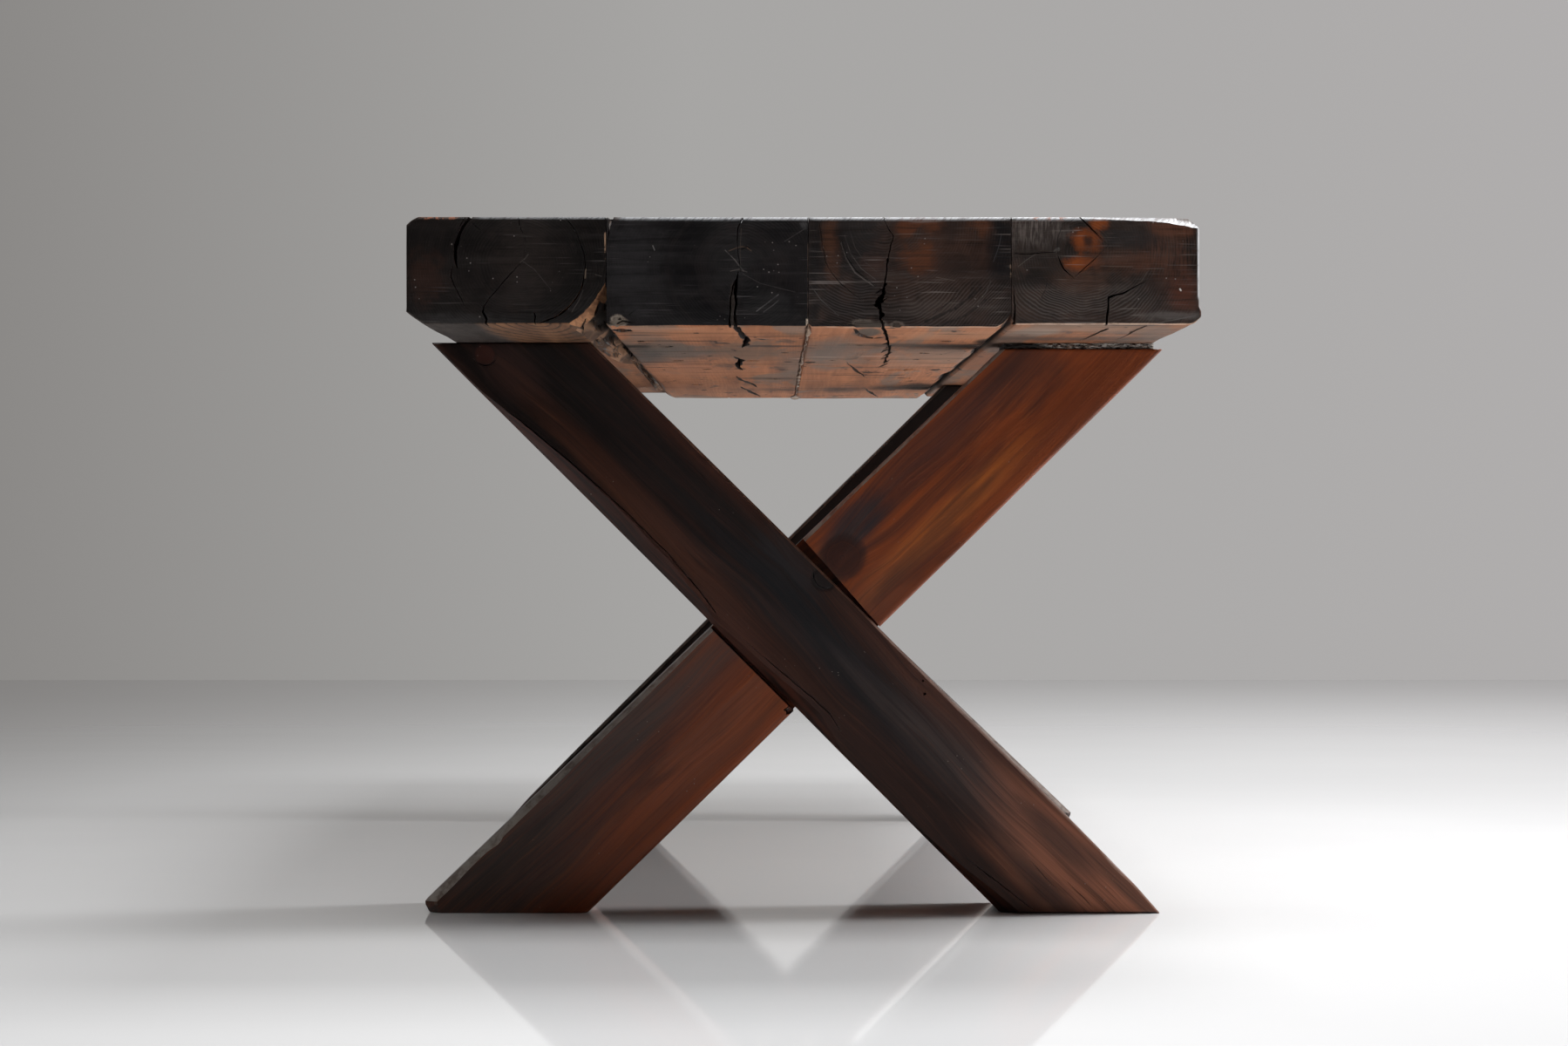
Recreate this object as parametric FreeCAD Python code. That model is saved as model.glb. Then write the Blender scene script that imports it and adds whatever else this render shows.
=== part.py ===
import FreeCAD, Part
import math
import os

V = FreeCAD.Vector

# ---------------------------------------------------------------- driving sizes, mm
# Frame: +X across the table, +Y along it, +Z up. Origin on the floor, under the
# middle of the two crossed leg frames.
height = 750.0             # floor to the top surface
length = 2000.0            # end to end of the four timbers of the top

# The top: four heavy squared timbers side by side. x of their edges:
edge_x = [-397.5, -193.3, 12.8, 219.7, 411.5]
under_z = [640.0, 637.5, 637.0, 640.0]   # underside of each timber, sawn by hand
joint_gap = 0.6            # width of each glued joint
top_ease = 3.0             # eased arris round the top surface

# The corners the bark side left on the timbers, and the worked chamfers
left_top_chamfer = 12.0
left_low_chamfer = (19.0, 13.0)
wane_left_joint = (37.0, 37.0)           # inner lower corner of the left outer timber
wane_inner = (9.0, 10.0)                 # outer lower corners of the two inner timbers
right_top_chamfer = 10.0
right_low_ease = 9.0
filler_groove = 3.0                      # V at the lower edge of the centre joint

# Leg frames: two squared timbers crossing in a half lap
inset = 350.0              # end of the top to the outer face of a frame
leg_deep = 115.0           # thickness of the through leg, along the table
leg_set_back = 6.0         # the lapped leg's outer face behind the through leg's
lap_plane = 57.5           # depth of the lap, from the outer face
thru_top = (-407.0, -227.0)              # through leg, x of its cut under the top
thru_foot = (232.0, 412.0)               # and of its foot
lapped_top = (233.0, 416.0)
lapped_foot = (-416.0, -231.0)
lapped_top_z = 633.5                     # it stops short of the top
thru_wane = 13.0           # bark-side bevel along the through leg's lower outer arris
lapped_bevel = 7.0         # bevel along the lapped leg's upper outer arris
leg_ease = 2.5             # eased long arrises
upper_shoulder = (10.0, 1.2)             # open gap at the lap's upper shoulder
lower_shoulder = 4.0                     # and at the lower one
lap_clear = 0.3            # sawn fit of the lap across the inner half

# Dowels across each joint of the top
dowel_d = 20.0
dowel_long = 120.0
dowel_z = 694.0
dowel_y = [-850.0, -425.0, 0.0, 425.0, 850.0]
dowel_end = 3.0            # glue space at each end of a dowel's hole

# Coach screws that hold the top down, driven up through the legs
top_screw_d = 12.0
top_screw_af = 19.0
top_screw_head = 8.0
top_screw_from_tip = 107.0
top_screw_y = [38.0, 78.0]               # from the outer face of the frame
top_screw_bite = 68.0                    # length of screw in the top
top_pocket_d = 34.0
top_seat_above = 32.0                    # seat above the leg's slope, on the screw's axis

# Coach screws across the lap, driven from the inner face
lap_screw_d = 10.0
lap_screw_af = 17.0
lap_screw_head = 7.0
lap_screw_bite = 42.0
lap_screw_dx = 34.0                      # each side of the crossing
lap_pocket_d = 30.0
lap_pocket_deep = 13.0

washer_thick = 2.5
washer_clear = 0.5
point_long = 12.0          # tapered point of a coach screw

end_y = length / 2.0
outer_y = -end_y + inset                 # outer face of the near through leg
inner_y = outer_y + leg_deep
mid_y = outer_y + lap_plane


# ---------------------------------------------------------------- helpers
def prism_xz(points, y0, y1):
    """A straight timber: an outline in X and Z, drawn from y0 to y1."""
    wire = Part.makePolygon([V(x, y0, z) for x, z in points] + [V(points[0][0], y0, points[0][1])])
    return Part.Face(wire).extrude(V(0, y1 - y0, 0))


def rod(radius, start, direction, long):
    return Part.makeCylinder(radius, long, start, direction)


def hexagon(af, start, direction, high):
    """A hexagon head of the given width across flats, with its corners turned off."""
    direction = V(direction).normalize()
    side = V(0, 1, 0) if abs(direction.z) > 0.5 else V(0, 0, 1)
    across = direction.cross(side)
    r = af / math.sqrt(3.0)
    ring = [
        start + side * (r * math.cos(math.radians(60 * i))) + across * (r * math.sin(math.radians(60 * i)))
        for i in range(6)
    ]
    head = Part.Face(Part.makePolygon(ring + [ring[0]])).extrude(direction * high)
    turned = Part.makeCone(r * 1.30, r * 0.93, high, start, direction)
    return head.common(turned)


def coach_screw(d, af, head, seat, direction, reach, washer):
    """A coach screw: its head below the washer, its shank from the seat to the reach, and a tapered point."""
    direction = V(direction).normalize()
    bolt = hexagon(af, seat - direction * washer, direction * -1.0, head)
    shank = rod(d / 2.0, seat - direction * washer, direction, reach + washer - point_long)
    tip = Part.makeCone(d / 2.0, d / 10.0, point_long, seat + direction * (reach - point_long), direction)
    return bolt.fuse(shank).fuse(tip).removeSplitter()


def screw_hole(d, seat, direction, reach):
    """The bore that a coach screw cuts for itself."""
    direction = V(direction).normalize()
    bore = rod(d / 2.0, seat - direction * 1.0, direction, reach + 1.0 - point_long)
    tip = Part.makeCone(d / 2.0, d / 10.0, point_long, seat + direction * (reach - point_long), direction)
    return bore.fuse(tip)


def washer(inner, outer, seat, direction, thick):
    direction = V(direction).normalize()
    ring = rod(outer / 2.0, seat - direction * thick, direction, thick)
    return ring.cut(rod(inner / 2.0, seat - direction * (thick + 1.0), direction, thick + 2.0))


def group(shapes):
    solids = [s for shape in shapes for s in shape.Solids]
    return Part.makeCompound(solids)


def line_x(low, high, z):
    """x at height z on the line between two points."""
    return low[0] + (high[0] - low[0]) * (z - low[1]) / (high[1] - low[1])


# ---------------------------------------------------------------- timbers of the top
g = joint_gap / 2.0
x0, x1, x2, x3, x4 = edge_x
u = under_z

profile = {
    "top_beam_left_outer": [
        (x0 + left_low_chamfer[0], u[0]),
        (x1 - g - wane_left_joint[0], u[0]),
        (x1 - g - 17.0, u[0] + 9.0),
        (x1 - g - 6.0, u[0] + 20.0),
        (x1 - g, u[0] + wane_left_joint[1]),
        (x1 - g, height),
        (x0 + left_top_chamfer, height),
        (x0, height - left_top_chamfer),
        (x0, u[0] + left_low_chamfer[1]),
    ],
    "top_beam_left_inner": [
        (x1 + g + wane_inner[0], u[1]),
        (x2 - g - filler_groove, u[1]),
        (x2 - g, u[1] + filler_groove),
        (x2 - g, height),
        (x1 + g, height),
        (x1 + g, u[1] + wane_inner[1]),
    ],
    "top_beam_right_inner": [
        (x2 + g + filler_groove, u[2]),
        (x3 - g - wane_inner[0] - 3.0, u[2]),
        (x3 - g, u[2] + wane_inner[1] + 3.0),
        (x3 - g, height),
        (x2 + g, height),
        (x2 + g, u[2] + filler_groove + 0.5),
    ],
    "top_beam_right_outer": [
        (x3 + g + 4.0, u[3]),
        (x4 - right_low_ease, u[3]),
        (x4 - 2.5, u[3] + 2.5),
        (x4, u[3] + right_low_ease),
        (x4, height - right_top_chamfer),
        (x4 - right_top_chamfer - 4.0, height),
        (x3 + g, height),
        (x3 + g, u[3] + 5.0),
    ],
}
beam = {}
for name, outline in profile.items():
    timber = prism_xz(outline, -end_y, end_y)
    ends = [
        e for e in timber.Edges
        if abs(e.BoundBox.ZMin - height) < 1e-6 and e.BoundBox.YLength < 1e-6 and e.BoundBox.XLength > 50.0
    ]
    beam[name] = timber.makeFillet(top_ease, ends)

# Dowels across the three joints
joints = [
    ("joint_dowels_left", x1, "top_beam_left_outer", "top_beam_left_inner"),
    ("joint_dowels_centre", x2, "top_beam_left_inner", "top_beam_right_inner"),
    ("joint_dowels_right", x3, "top_beam_right_inner", "top_beam_right_outer"),
]
nodes = {}
for name, at, one, other in joints:
    pegs, bores = [], []
    for y in dowel_y:
        start = V(at - dowel_long / 2.0, y, dowel_z)
        peg = rod(dowel_d / 2.0, start, V(1, 0, 0), dowel_long)
        rims = [e for e in peg.Edges if e.Closed and e.BoundBox.XLength < 1e-6]
        pegs.append(peg.makeChamfer(1.5, rims))
        bores.append(rod(dowel_d / 2.0, start - V(dowel_end, 0, 0), V(1, 0, 0), dowel_long + 2.0 * dowel_end))
    for bore in bores:
        beam[one] = beam[one].cut(bore)
        beam[other] = beam[other].cut(bore)
    nodes[name] = group(pegs)

# Pale filler in the V under the centre joint
nodes["centre_joint_filler"] = prism_xz(
    [
        (x2 - g - filler_groove, u[1]),
        (x2 + g + filler_groove, u[2]),
        (x2 + g, u[2] + filler_groove + 0.5),
        (x2 - g, u[1] + filler_groove),
    ],
    -end_y,
    end_y,
)

# ---------------------------------------------------------------- one leg frame, at the near end
thru_outline = [
    (thru_foot[0], 0.0),
    (thru_foot[1], 0.0),
    (thru_top[1], u[0]),
    (thru_top[0], u[0]),
]
lapped_outline = [
    (lapped_foot[0] + 6.0, 0.0),
    (lapped_foot[1], 0.0),
    (lapped_top[1], lapped_top_z),
    (lapped_top[0], lapped_top_z),
    (lapped_foot[0], 12.0),
]
thru = prism_xz(thru_outline, outer_y, inner_y)
lapped = prism_xz(lapped_outline, outer_y + leg_set_back, inner_y)

thru_low = ((thru_foot[0], 0.0), (thru_top[0], u[0]))
thru_high = ((thru_foot[1], 0.0), (thru_top[1], u[0]))
lapped_high = ((lapped_foot[0], 12.0), (lapped_top[0], lapped_top_z))
lapped_low = ((lapped_foot[1], 0.0), (lapped_top[1], lapped_top_z))


def on_line(edge, line, y):
    for v in edge.Vertexes:
        if abs(v.Y - y) > 1e-6 or abs(v.X - line_x(line[0], line[1], v.Z)) > 1e-4:
            return False
    return edge.Length > 100.0


def ease(shape, keep_line, keep_y, size):
    """The bark-side bevel on one arris, and a small ease on the other long ones."""
    big = [e for e in shape.Edges if on_line(e, keep_line, keep_y)]
    shape = shape.makeChamfer(size, big)
    small = []
    for line in (thru_low, thru_high, lapped_low, lapped_high):
        for y in (outer_y, outer_y + leg_set_back, inner_y):
            if line is keep_line and y == keep_y:
                continue
            small += [e for e in shape.Edges if on_line(e, line, y)]
    return shape.makeChamfer(leg_ease, small)


thru = ease(thru, thru_low, outer_y, thru_wane)
lapped = ease(lapped, lapped_high, outer_y + leg_set_back, lapped_bevel)

# The half lap. The lapped leg loses its outer half, with open shoulders. The through
# leg loses its inner half, where the other passes.
slope = math.hypot(1.0, (thru_high[1][0] - thru_high[0][0]) / u[0])


def shifted(line, by):
    """A through-leg edge moved square to itself, towards the upper right."""
    return ((line[0][0] + by * slope, line[0][1]), (line[1][0] + by * slope, line[1][1]))


def cross(a, b):
    """Where two leg edges cross, in X and Z."""
    ka = (a[1][0] - a[0][0]) / (a[1][1] - a[0][1])
    kb = (b[1][0] - b[0][0]) / (b[1][1] - b[0][1])
    z = (b[0][0] - a[0][0] + ka * a[0][1] - kb * b[0][1]) / (ka - kb)
    return (a[0][0] + ka * (z - a[0][1]), z)


reach = 40.0               # how far the cutting outline runs past the timber


def beyond(p, q):
    """q, moved on by reach along the line from p."""
    d = math.hypot(q[0] - p[0], q[1] - p[1])
    return (q[0] + (q[0] - p[0]) * reach / d, q[1] + (q[1] - p[1]) * reach / d)


up_wide = cross(shifted(thru_high, upper_shoulder[0]), lapped_high)
up_tight = cross(shifted(thru_high, upper_shoulder[1]), lapped_low)
low_high = cross(shifted(thru_low, -lower_shoulder), lapped_high)
low_low = cross(shifted(thru_low, -lower_shoulder), lapped_low)
notch = prism_xz(
    [beyond(up_tight, up_wide), beyond(up_wide, up_tight), beyond(low_high, low_low), beyond(low_low, low_high)],
    outer_y - 5.0,
    mid_y,
)
lapped = lapped.cut(notch)

c = lap_clear
way = ((lapped_high[0][0] - c, lapped_high[0][1]), (lapped_high[1][0] - c, lapped_high[1][1]))
way2 = ((lapped_low[0][0] + c, lapped_low[0][1]), (lapped_low[1][0] + c, lapped_low[1][1]))
corners = [cross(thru_high, way), cross(thru_high, way2), cross(thru_low, way2), cross(thru_low, way)]
channel = prism_xz(
    [
        beyond(corners[3], corners[0]),
        beyond(corners[2], corners[1]),
        beyond(corners[1], corners[2]),
        beyond(corners[0], corners[3]),
    ],
    mid_y,
    inner_y + 5.0,
)
thru = thru.cut(channel)

middle = cross(
    (((thru_foot[0] + thru_foot[1]) / 2.0, 0.0), ((thru_top[0] + thru_top[1]) / 2.0, u[0])),
    (((lapped_foot[0] + lapped_foot[1]) / 2.0, 0.0), ((lapped_top[0] + lapped_top[1]) / 2.0, lapped_top_z)),
)

# Rough packing on the short leg, up to the top
packer = Part.makeBox(
    lapped_top[1] - lapped_top[0] - 15.0,
    leg_deep - leg_set_back - 8.0,
    u[3] - lapped_top_z,
    V(lapped_top[0] + 4.0, outer_y + leg_set_back + 3.0, lapped_top_z),
)

# Screws across the lap, from the inner face
lap_screws, lap_washers = [], []
for side in (-1.0, 1.0):
    x, z = middle[0] + side * lap_screw_dx, middle[1]
    seat = V(x, inner_y - lap_pocket_deep, z)
    long = (seat.y - mid_y) + lap_screw_bite
    way_in = V(0, -1, 0)
    lap_screws.append(coach_screw(lap_screw_d, lap_screw_af, lap_screw_head, seat, way_in, long, washer_thick))
    lap_washers.append(washer(lap_screw_d + washer_clear, lap_pocket_d - 4.0, seat, way_in, washer_thick))
    lapped = lapped.cut(rod(lap_pocket_d / 2.0, seat, V(0, 1, 0), lap_pocket_deep + 5.0))
    lapped = lapped.cut(screw_hole(lap_screw_d, seat, way_in, long))
    thru = thru.cut(screw_hole(lap_screw_d, seat, way_in, long))

# Screws up through the legs into the top. The far frame is this one turned half round.
top_screws, top_washers, top_bores = [], [], []
for leg in ("thru", "lapped"):
    if leg == "thru":
        x = thru_top[0] + top_screw_from_tip
        low = thru_low
        under = u[0]
    else:
        x = lapped_top[1] - top_screw_from_tip
        low = lapped_low
        under = u[3]
    z_slope = low[0][1] + (x - low[0][0]) * (low[1][1] - low[0][1]) / (low[1][0] - low[0][0])
    z_seat = z_slope + top_seat_above
    for dy in top_screw_y:
        seat = V(x, outer_y + dy, z_seat)
        long = under + top_screw_bite - z_seat
        way_up = V(0, 0, 1)
        top_screws.append(coach_screw(top_screw_d, top_screw_af, top_screw_head, seat, way_up, long, washer_thick))
        top_washers.append(washer(top_screw_d + washer_clear, top_pocket_d - 4.0, seat, way_up, washer_thick))
        pocket = rod(top_pocket_d / 2.0, seat, V(0, 0, -1), 90.0)
        bore = screw_hole(top_screw_d, seat, way_up, long)
        top_bores.append(bore)
        if leg == "thru":
            thru = thru.cut(pocket).cut(bore)
        else:
            lapped = lapped.cut(pocket).cut(bore)
            packer = packer.cut(bore)


def turned(shape):
    """The same thing at the far end, turned half round about the upright axis."""
    copy = shape.copy()
    copy.rotate(V(0, 0, 0), V(0, 0, 1), 180.0)
    return copy


near = {
    "leg_through": thru,
    "leg_lapped": lapped,
    "packer": packer,
    "lap_screws": group(lap_screws),
    "lap_washers": group(lap_washers),
    "top_screws": group(top_screws),
    "top_washers": group(top_washers),
}
for name, shape in near.items():
    nodes["near_" + name] = shape
    nodes["far_" + name] = turned(shape)

# Both frames' screws go up into the two outer timbers.
for bore in top_bores:
    for name in ("top_beam_left_outer", "top_beam_right_outer"):
        beam[name] = beam[name].cut(bore)
        beam[name] = beam[name].cut(turned(bore))

nodes.update(beam)

# ---------------------------------------------------------------- out
os.makedirs("parts", exist_ok=True)
for name in sorted(nodes):
    shape = nodes[name]
    if shape.ShapeType == "Compound" and len(shape.Solids) == 1:
        shape = shape.Solids[0]
    shape.exportStep("parts/" + name + ".step")
    b = shape.BoundBox
    print(
        f"{name:24s} solids {len(shape.Solids)} valid {shape.isValid()} "
        f"x {b.XMin:8.2f} {b.XMax:8.2f} y {b.YMin:8.2f} {b.YMax:8.2f} z {b.ZMin:7.2f} {b.ZMax:7.2f}"
    )
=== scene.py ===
import math

import bpy
import numpy as np
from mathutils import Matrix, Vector


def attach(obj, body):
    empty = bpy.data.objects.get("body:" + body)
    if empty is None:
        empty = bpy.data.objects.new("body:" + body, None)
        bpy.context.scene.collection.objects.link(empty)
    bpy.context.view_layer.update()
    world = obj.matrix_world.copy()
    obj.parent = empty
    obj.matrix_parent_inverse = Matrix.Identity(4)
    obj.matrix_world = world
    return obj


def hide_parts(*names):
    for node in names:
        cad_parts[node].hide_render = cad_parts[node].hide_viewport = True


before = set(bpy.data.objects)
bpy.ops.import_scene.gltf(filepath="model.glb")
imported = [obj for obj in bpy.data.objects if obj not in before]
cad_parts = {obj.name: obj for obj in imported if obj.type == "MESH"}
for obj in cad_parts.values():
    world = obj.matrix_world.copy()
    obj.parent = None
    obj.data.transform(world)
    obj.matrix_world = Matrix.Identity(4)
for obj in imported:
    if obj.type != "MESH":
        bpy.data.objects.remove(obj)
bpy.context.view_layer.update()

MM = 0.001

# ------------------------------------------------------------------ the table's sizes, m
TOP = 0.750
END = 1.000
EDGE = [-0.3975, -0.1933, 0.0128, 0.2197, 0.4115]
UNDER = [0.640, 0.6375, 0.637, 0.640]
GAP = 0.0003
OUTER, INNER, MID = -0.650, -0.535, -0.5925
BACK = 0.006
THRU_TOP, THRU_FOOT = (-0.407, -0.227), (0.232, 0.412)
LAP_TOP, LAP_FOOT = (0.233, 0.416), (-0.416, -0.231)
LAP_Z = 0.6335
UNDER_A = 0.640

# ------------------------------------------------------------------ the camera's numbers
CAM = (-0.025, -4.5, 0.438)
FOCAL = 3941.0          # in pixels of the 1799 x 1200 frame
VPX, VPY = 885.0, 600.0
NEAR_PX = FOCAL / 3.5   # pixels in a metre at the near end
LEG_PX = FOCAL / 3.85   # and at the outer face of the near legs


def on_end(px, py):
    """A point of the frame, on the plane of the near end: x, z."""
    return (CAM[0] + (px - VPX) / NEAR_PX, CAM[2] + (VPY - py) / NEAR_PX)


def on_leg(px, py):
    """A point of the frame, on the outer face of the near legs: x, z."""
    return (CAM[0] + (px - VPX) / LEG_PX, CAM[2] + (VPY - py) / LEG_PX)


def on_under(px, py, z=0.6375):
    """A point of the frame, on the underside: x, y."""
    d = FOCAL * (z - CAM[2]) / (VPY - py)
    return (CAM[0] + (px - VPX) * d / FOCAL, CAM[1] + d)


# ------------------------------------------------------------------ seeded noise
def lattice1(seed):
    return np.random.default_rng(seed).uniform(-1, 1, 4096)


def noise1(t, seed, step, octaves=3):
    t = np.asarray(t, float)
    out, amp, tot = np.zeros_like(t), 1.0, 0.0
    for o in range(octaves):
        lat = lattice1(seed * 31 + o)
        k = t / step + 977.0
        i = np.floor(k).astype(int)
        f = k - i
        f = f * f * (3 - 2 * f)
        out += amp * (lat[i % 4096] * (1 - f) + lat[(i + 1) % 4096] * f)
        tot += amp
        amp *= 0.5
        step *= 0.5
    return out / tot


def noise2(u, v, seed, su, sv, octaves=3):
    u, v = np.broadcast_arrays(np.asarray(u, float), np.asarray(v, float))
    out, amp, tot = np.zeros(u.shape), 1.0, 0.0
    for o in range(octaves):
        lat = np.random.default_rng(seed * 37 + o).uniform(-1, 1, (512, 512))
        a, b = u / su + 211.3, v / sv + 157.7
        i, j = np.floor(a).astype(int), np.floor(b).astype(int)
        f, g = a - i, b - j
        f, g = f * f * (3 - 2 * f), g * g * (3 - 2 * g)
        i0, i1, j0, j1 = i % 512, (i + 1) % 512, j % 512, (j + 1) % 512
        out += amp * (
            lat[i0, j0] * (1 - f) * (1 - g) + lat[i1, j0] * f * (1 - g)
            + lat[i0, j1] * (1 - f) * g + lat[i1, j1] * f * g
        )
        tot += amp
        amp *= 0.5
        su *= 0.5
        sv *= 0.5
    return out / tot


def bumps(t, spots):
    """Local dents: (where, half length, size)."""
    out = np.zeros_like(np.asarray(t, float))
    for at, half, size in spots:
        out += size * np.clip(1 - ((t - at) / half) ** 2, 0, None) ** 1.5
    return out


# ------------------------------------------------------------------ mesh helpers
def mesh_object(name, verts, faces, link=True):
    me = bpy.data.meshes.new(name)
    me.from_pydata([tuple(v) for v in verts], [], [tuple(f) for f in faces])
    me.validate()
    me.update()
    ob = bpy.data.objects.new(name, me)
    if link:
        bpy.context.scene.collection.objects.link(ob)
    return ob


def loft(name, rings):
    """A closed skin through rings of points (stations, points, 3), with flat ends."""
    m, n = rings.shape[:2]
    verts = rings.reshape(-1, 3)
    i = np.arange(m - 1)[:, None] * n
    j = np.arange(n)[None, :]
    k = (np.arange(n)[None, :] + 1) % n
    quads = np.stack([i + j, i + k, i + n + k, i + n + j], axis=-1).reshape(-1, 4)
    faces = [tuple(q) for q in quads]
    faces.append(tuple(range(n - 1, -1, -1)))
    faces.append(tuple(range((m - 1) * n, m * n)))
    return mesh_object(name, verts, faces)


def corner(a, b, shape, count=9):
    """A worked or worn corner, as (share of a, share of b) going round it. shape 0 is a straight chamfer and 1 is round."""
    s = np.linspace(0, 1, count)
    th = s * math.pi / 2
    f = (1 - s) * (1 - shape) + (1 - np.sin(th)) * shape
    g = s * (1 - shape) + (1 - np.cos(th)) * shape
    return f * a, g * b


def out_normals(ring):
    d = np.roll(ring, -1, 0) - np.roll(ring, 1, 0)
    d /= np.maximum(np.linalg.norm(d, axis=1, keepdims=True), 1e-9)
    return np.stack([d[:, 1], -d[:, 0]], 1)


cutter_bin = bpy.data.collections.new("cutters")
bpy.context.scene.collection.children.link(cutter_bin)


def cutter(verts, faces):
    ob = mesh_object("cut", verts, faces, link=False)
    cutter_bin.objects.link(ob)
    return ob


def split_line(points, widths, step, jitter, seed):
    """A polyline with more points, a hand-torn wander, and a width at each."""
    p = np.asarray(points, float)
    w = np.asarray(widths, float)
    along = np.concatenate([[0], np.cumsum(np.linalg.norm(np.diff(p, axis=0), axis=1))])
    n = max(len(p), int(along[-1] / step) + 2)
    t = np.unique(np.concatenate([np.linspace(0, along[-1], n), along]))
    keep = np.concatenate([[True], np.diff(t) > step * 0.3])
    t = t[keep]
    q = np.stack([np.interp(t, along, p[:, k]) for k in range(p.shape[1])], 1)
    ww = np.interp(t, along, w)
    d = np.gradient(q, axis=0)
    d /= np.maximum(np.linalg.norm(d, axis=1, keepdims=True), 1e-9)
    side = np.stack([-d[:, 1], d[:, 0]], 1)
    q = q + side * (noise1(t, seed, step * 3.0, 2) * jitter)[:, None]
    ww = ww * (1 + 0.45 * noise1(t, seed + 5, step * 2.2, 2))
    return q, side, np.maximum(ww, 0.00012)


def crack(points, widths, depth, place, step=0.004, jitter=0.0008, seed=1, lean=0.0, floor=0.35):
    """A drying crack: a wedge along a polyline of a flat face. place(a, b, into) gives the point at (a, b) on the face, into the wood."""
    q, side, w = split_line(points, widths, step, jitter, seed)
    n = len(q)
    dep = np.full(n, depth) * (0.75 + 0.25 * noise1(np.arange(n) * step, seed + 9, step * 4))
    taper = np.clip(w / max(w.max() * 0.5, 1e-6), 0.25, 1.0)
    dep = dep * taper
    verts = []
    for k in range(n):
        l, r = q[k] + side[k] * w[k] / 2, q[k] - side[k] * w[k] / 2
        c = q[k] + side[k] * lean * dep[k]
        fl = w[k] * floor / 2
        verts += [
            place(*l, -0.002), place(*r, -0.002),
            place(*(c - side[k] * fl), dep[k]), place(*(c + side[k] * fl), dep[k]),
        ]
    faces = []
    for k in range(n - 1):
        a, b = 4 * k, 4 * k + 4
        for e in range(4):
            f = (e + 1) % 4
            faces.append((a + e, a + f, b + f, b + e))
    faces.append((3, 2, 1, 0))
    e = 4 * (n - 1)
    faces.append((e, e + 1, e + 2, e + 3))
    return cutter(verts, faces)


def pit(center, size, depth, place, seed=1, points=14, floor=0.6):
    """A torn pit in a face: a ragged outline that narrows inward."""
    rng = np.random.default_rng(seed)
    ang = np.linspace(0, 2 * math.pi, points, endpoint=False)
    rad = 1 + rng.uniform(-0.3, 0.3, points)
    top = [(center[0] + size[0] / 2 * r * math.cos(a), center[1] + size[1] / 2 * r * math.sin(a)) for a, r in zip(ang, rad)]
    low = [(center[0] + size[0] / 2 * r * floor * math.cos(a), center[1] + size[1] / 2 * r * floor * math.sin(a)) for a, r in zip(ang, rad)]
    verts = [place(*p, -0.002) for p in top] + [place(*p, depth * rng.uniform(0.8, 1.1)) for p in low]
    faces = [tuple(range(points)), tuple(range(2 * points - 1, points - 1, -1))]
    for k in range(points):
        j = (k + 1) % points
        faces.append((k, k + points, j + points, j))
    return cutter(verts, faces)


def end_bevel(steps, seed=1):
    """Wears a slope off the upper arris of the near end: (x, down the end, back along the top) at each step."""
    x = np.array([s[0] for s in steps])
    xs = np.linspace(x[0], x[-1], 40)
    h = np.interp(xs, x, [s[1] for s in steps]) * (1 + 0.14 * noise1(xs, seed, 0.012, 3))
    d = np.interp(xs, x, [s[2] for s in steps]) * (1 + 0.14 * noise1(xs, seed + 1, 0.012, 3))
    verts, faces = [], []
    for xk, hk, dk in zip(xs, h, d):
        verts += [(xk, -END - 0.4 * dk, TOP - 1.4 * hk), (xk, -END + 1.4 * dk, TOP + 0.4 * hk), (xk, -END - 0.4 * dk, TOP + 0.4 * hk + 0.001)]
    for k in range(len(xs) - 1):
        a, b = 3 * k, 3 * k + 3
        for e in range(3):
            f = (e + 1) % 3
            faces.append((a + e, a + f, b + f, b + e))
    faces.append((2, 1, 0))
    e = 3 * (len(xs) - 1)
    faces.append((e, e + 1, e + 2))
    return cutter(verts, faces)


def prism_xz(points, y0, y1):
    n = len(points)
    verts = [(x, y0, z) for x, z in points] + [(x, y1, z) for x, z in points]
    faces = [tuple(range(n)), tuple(range(2 * n - 1, n - 1, -1))]
    for k in range(n):
        j = (k + 1) % n
        faces.append((k, k + n, j + n, j))
    return cutter(verts, faces)


def rod(radius, start, end, sides=28):
    a, b = Vector(start), Vector(end)
    d = (b - a).normalized()
    s = d.orthogonal().normalized()
    t = d.cross(s)
    ring = [s * (radius * math.cos(2 * math.pi * k / sides)) + t * (radius * math.sin(2 * math.pi * k / sides)) for k in range(sides)]
    verts = [tuple(a + r) for r in ring] + [tuple(b + r) for r in ring]
    faces = [tuple(range(sides - 1, -1, -1)), tuple(range(sides, 2 * sides))]
    for k in range(sides):
        j = (k + 1) % sides
        faces.append((k, j, j + sides, k + sides))
    return cutter(verts, faces)


def outward(ob):
    """Turns a closed mesh's faces to look out."""
    import bmesh
    bm = bmesh.new()
    bm.from_mesh(ob.data)
    bmesh.ops.recalc_face_normals(bm, faces=bm.faces)
    if bm.calc_volume(signed=True) < 0:
        bmesh.ops.reverse_faces(bm, faces=bm.faces)
    bm.to_mesh(ob.data)
    bm.free()


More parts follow.
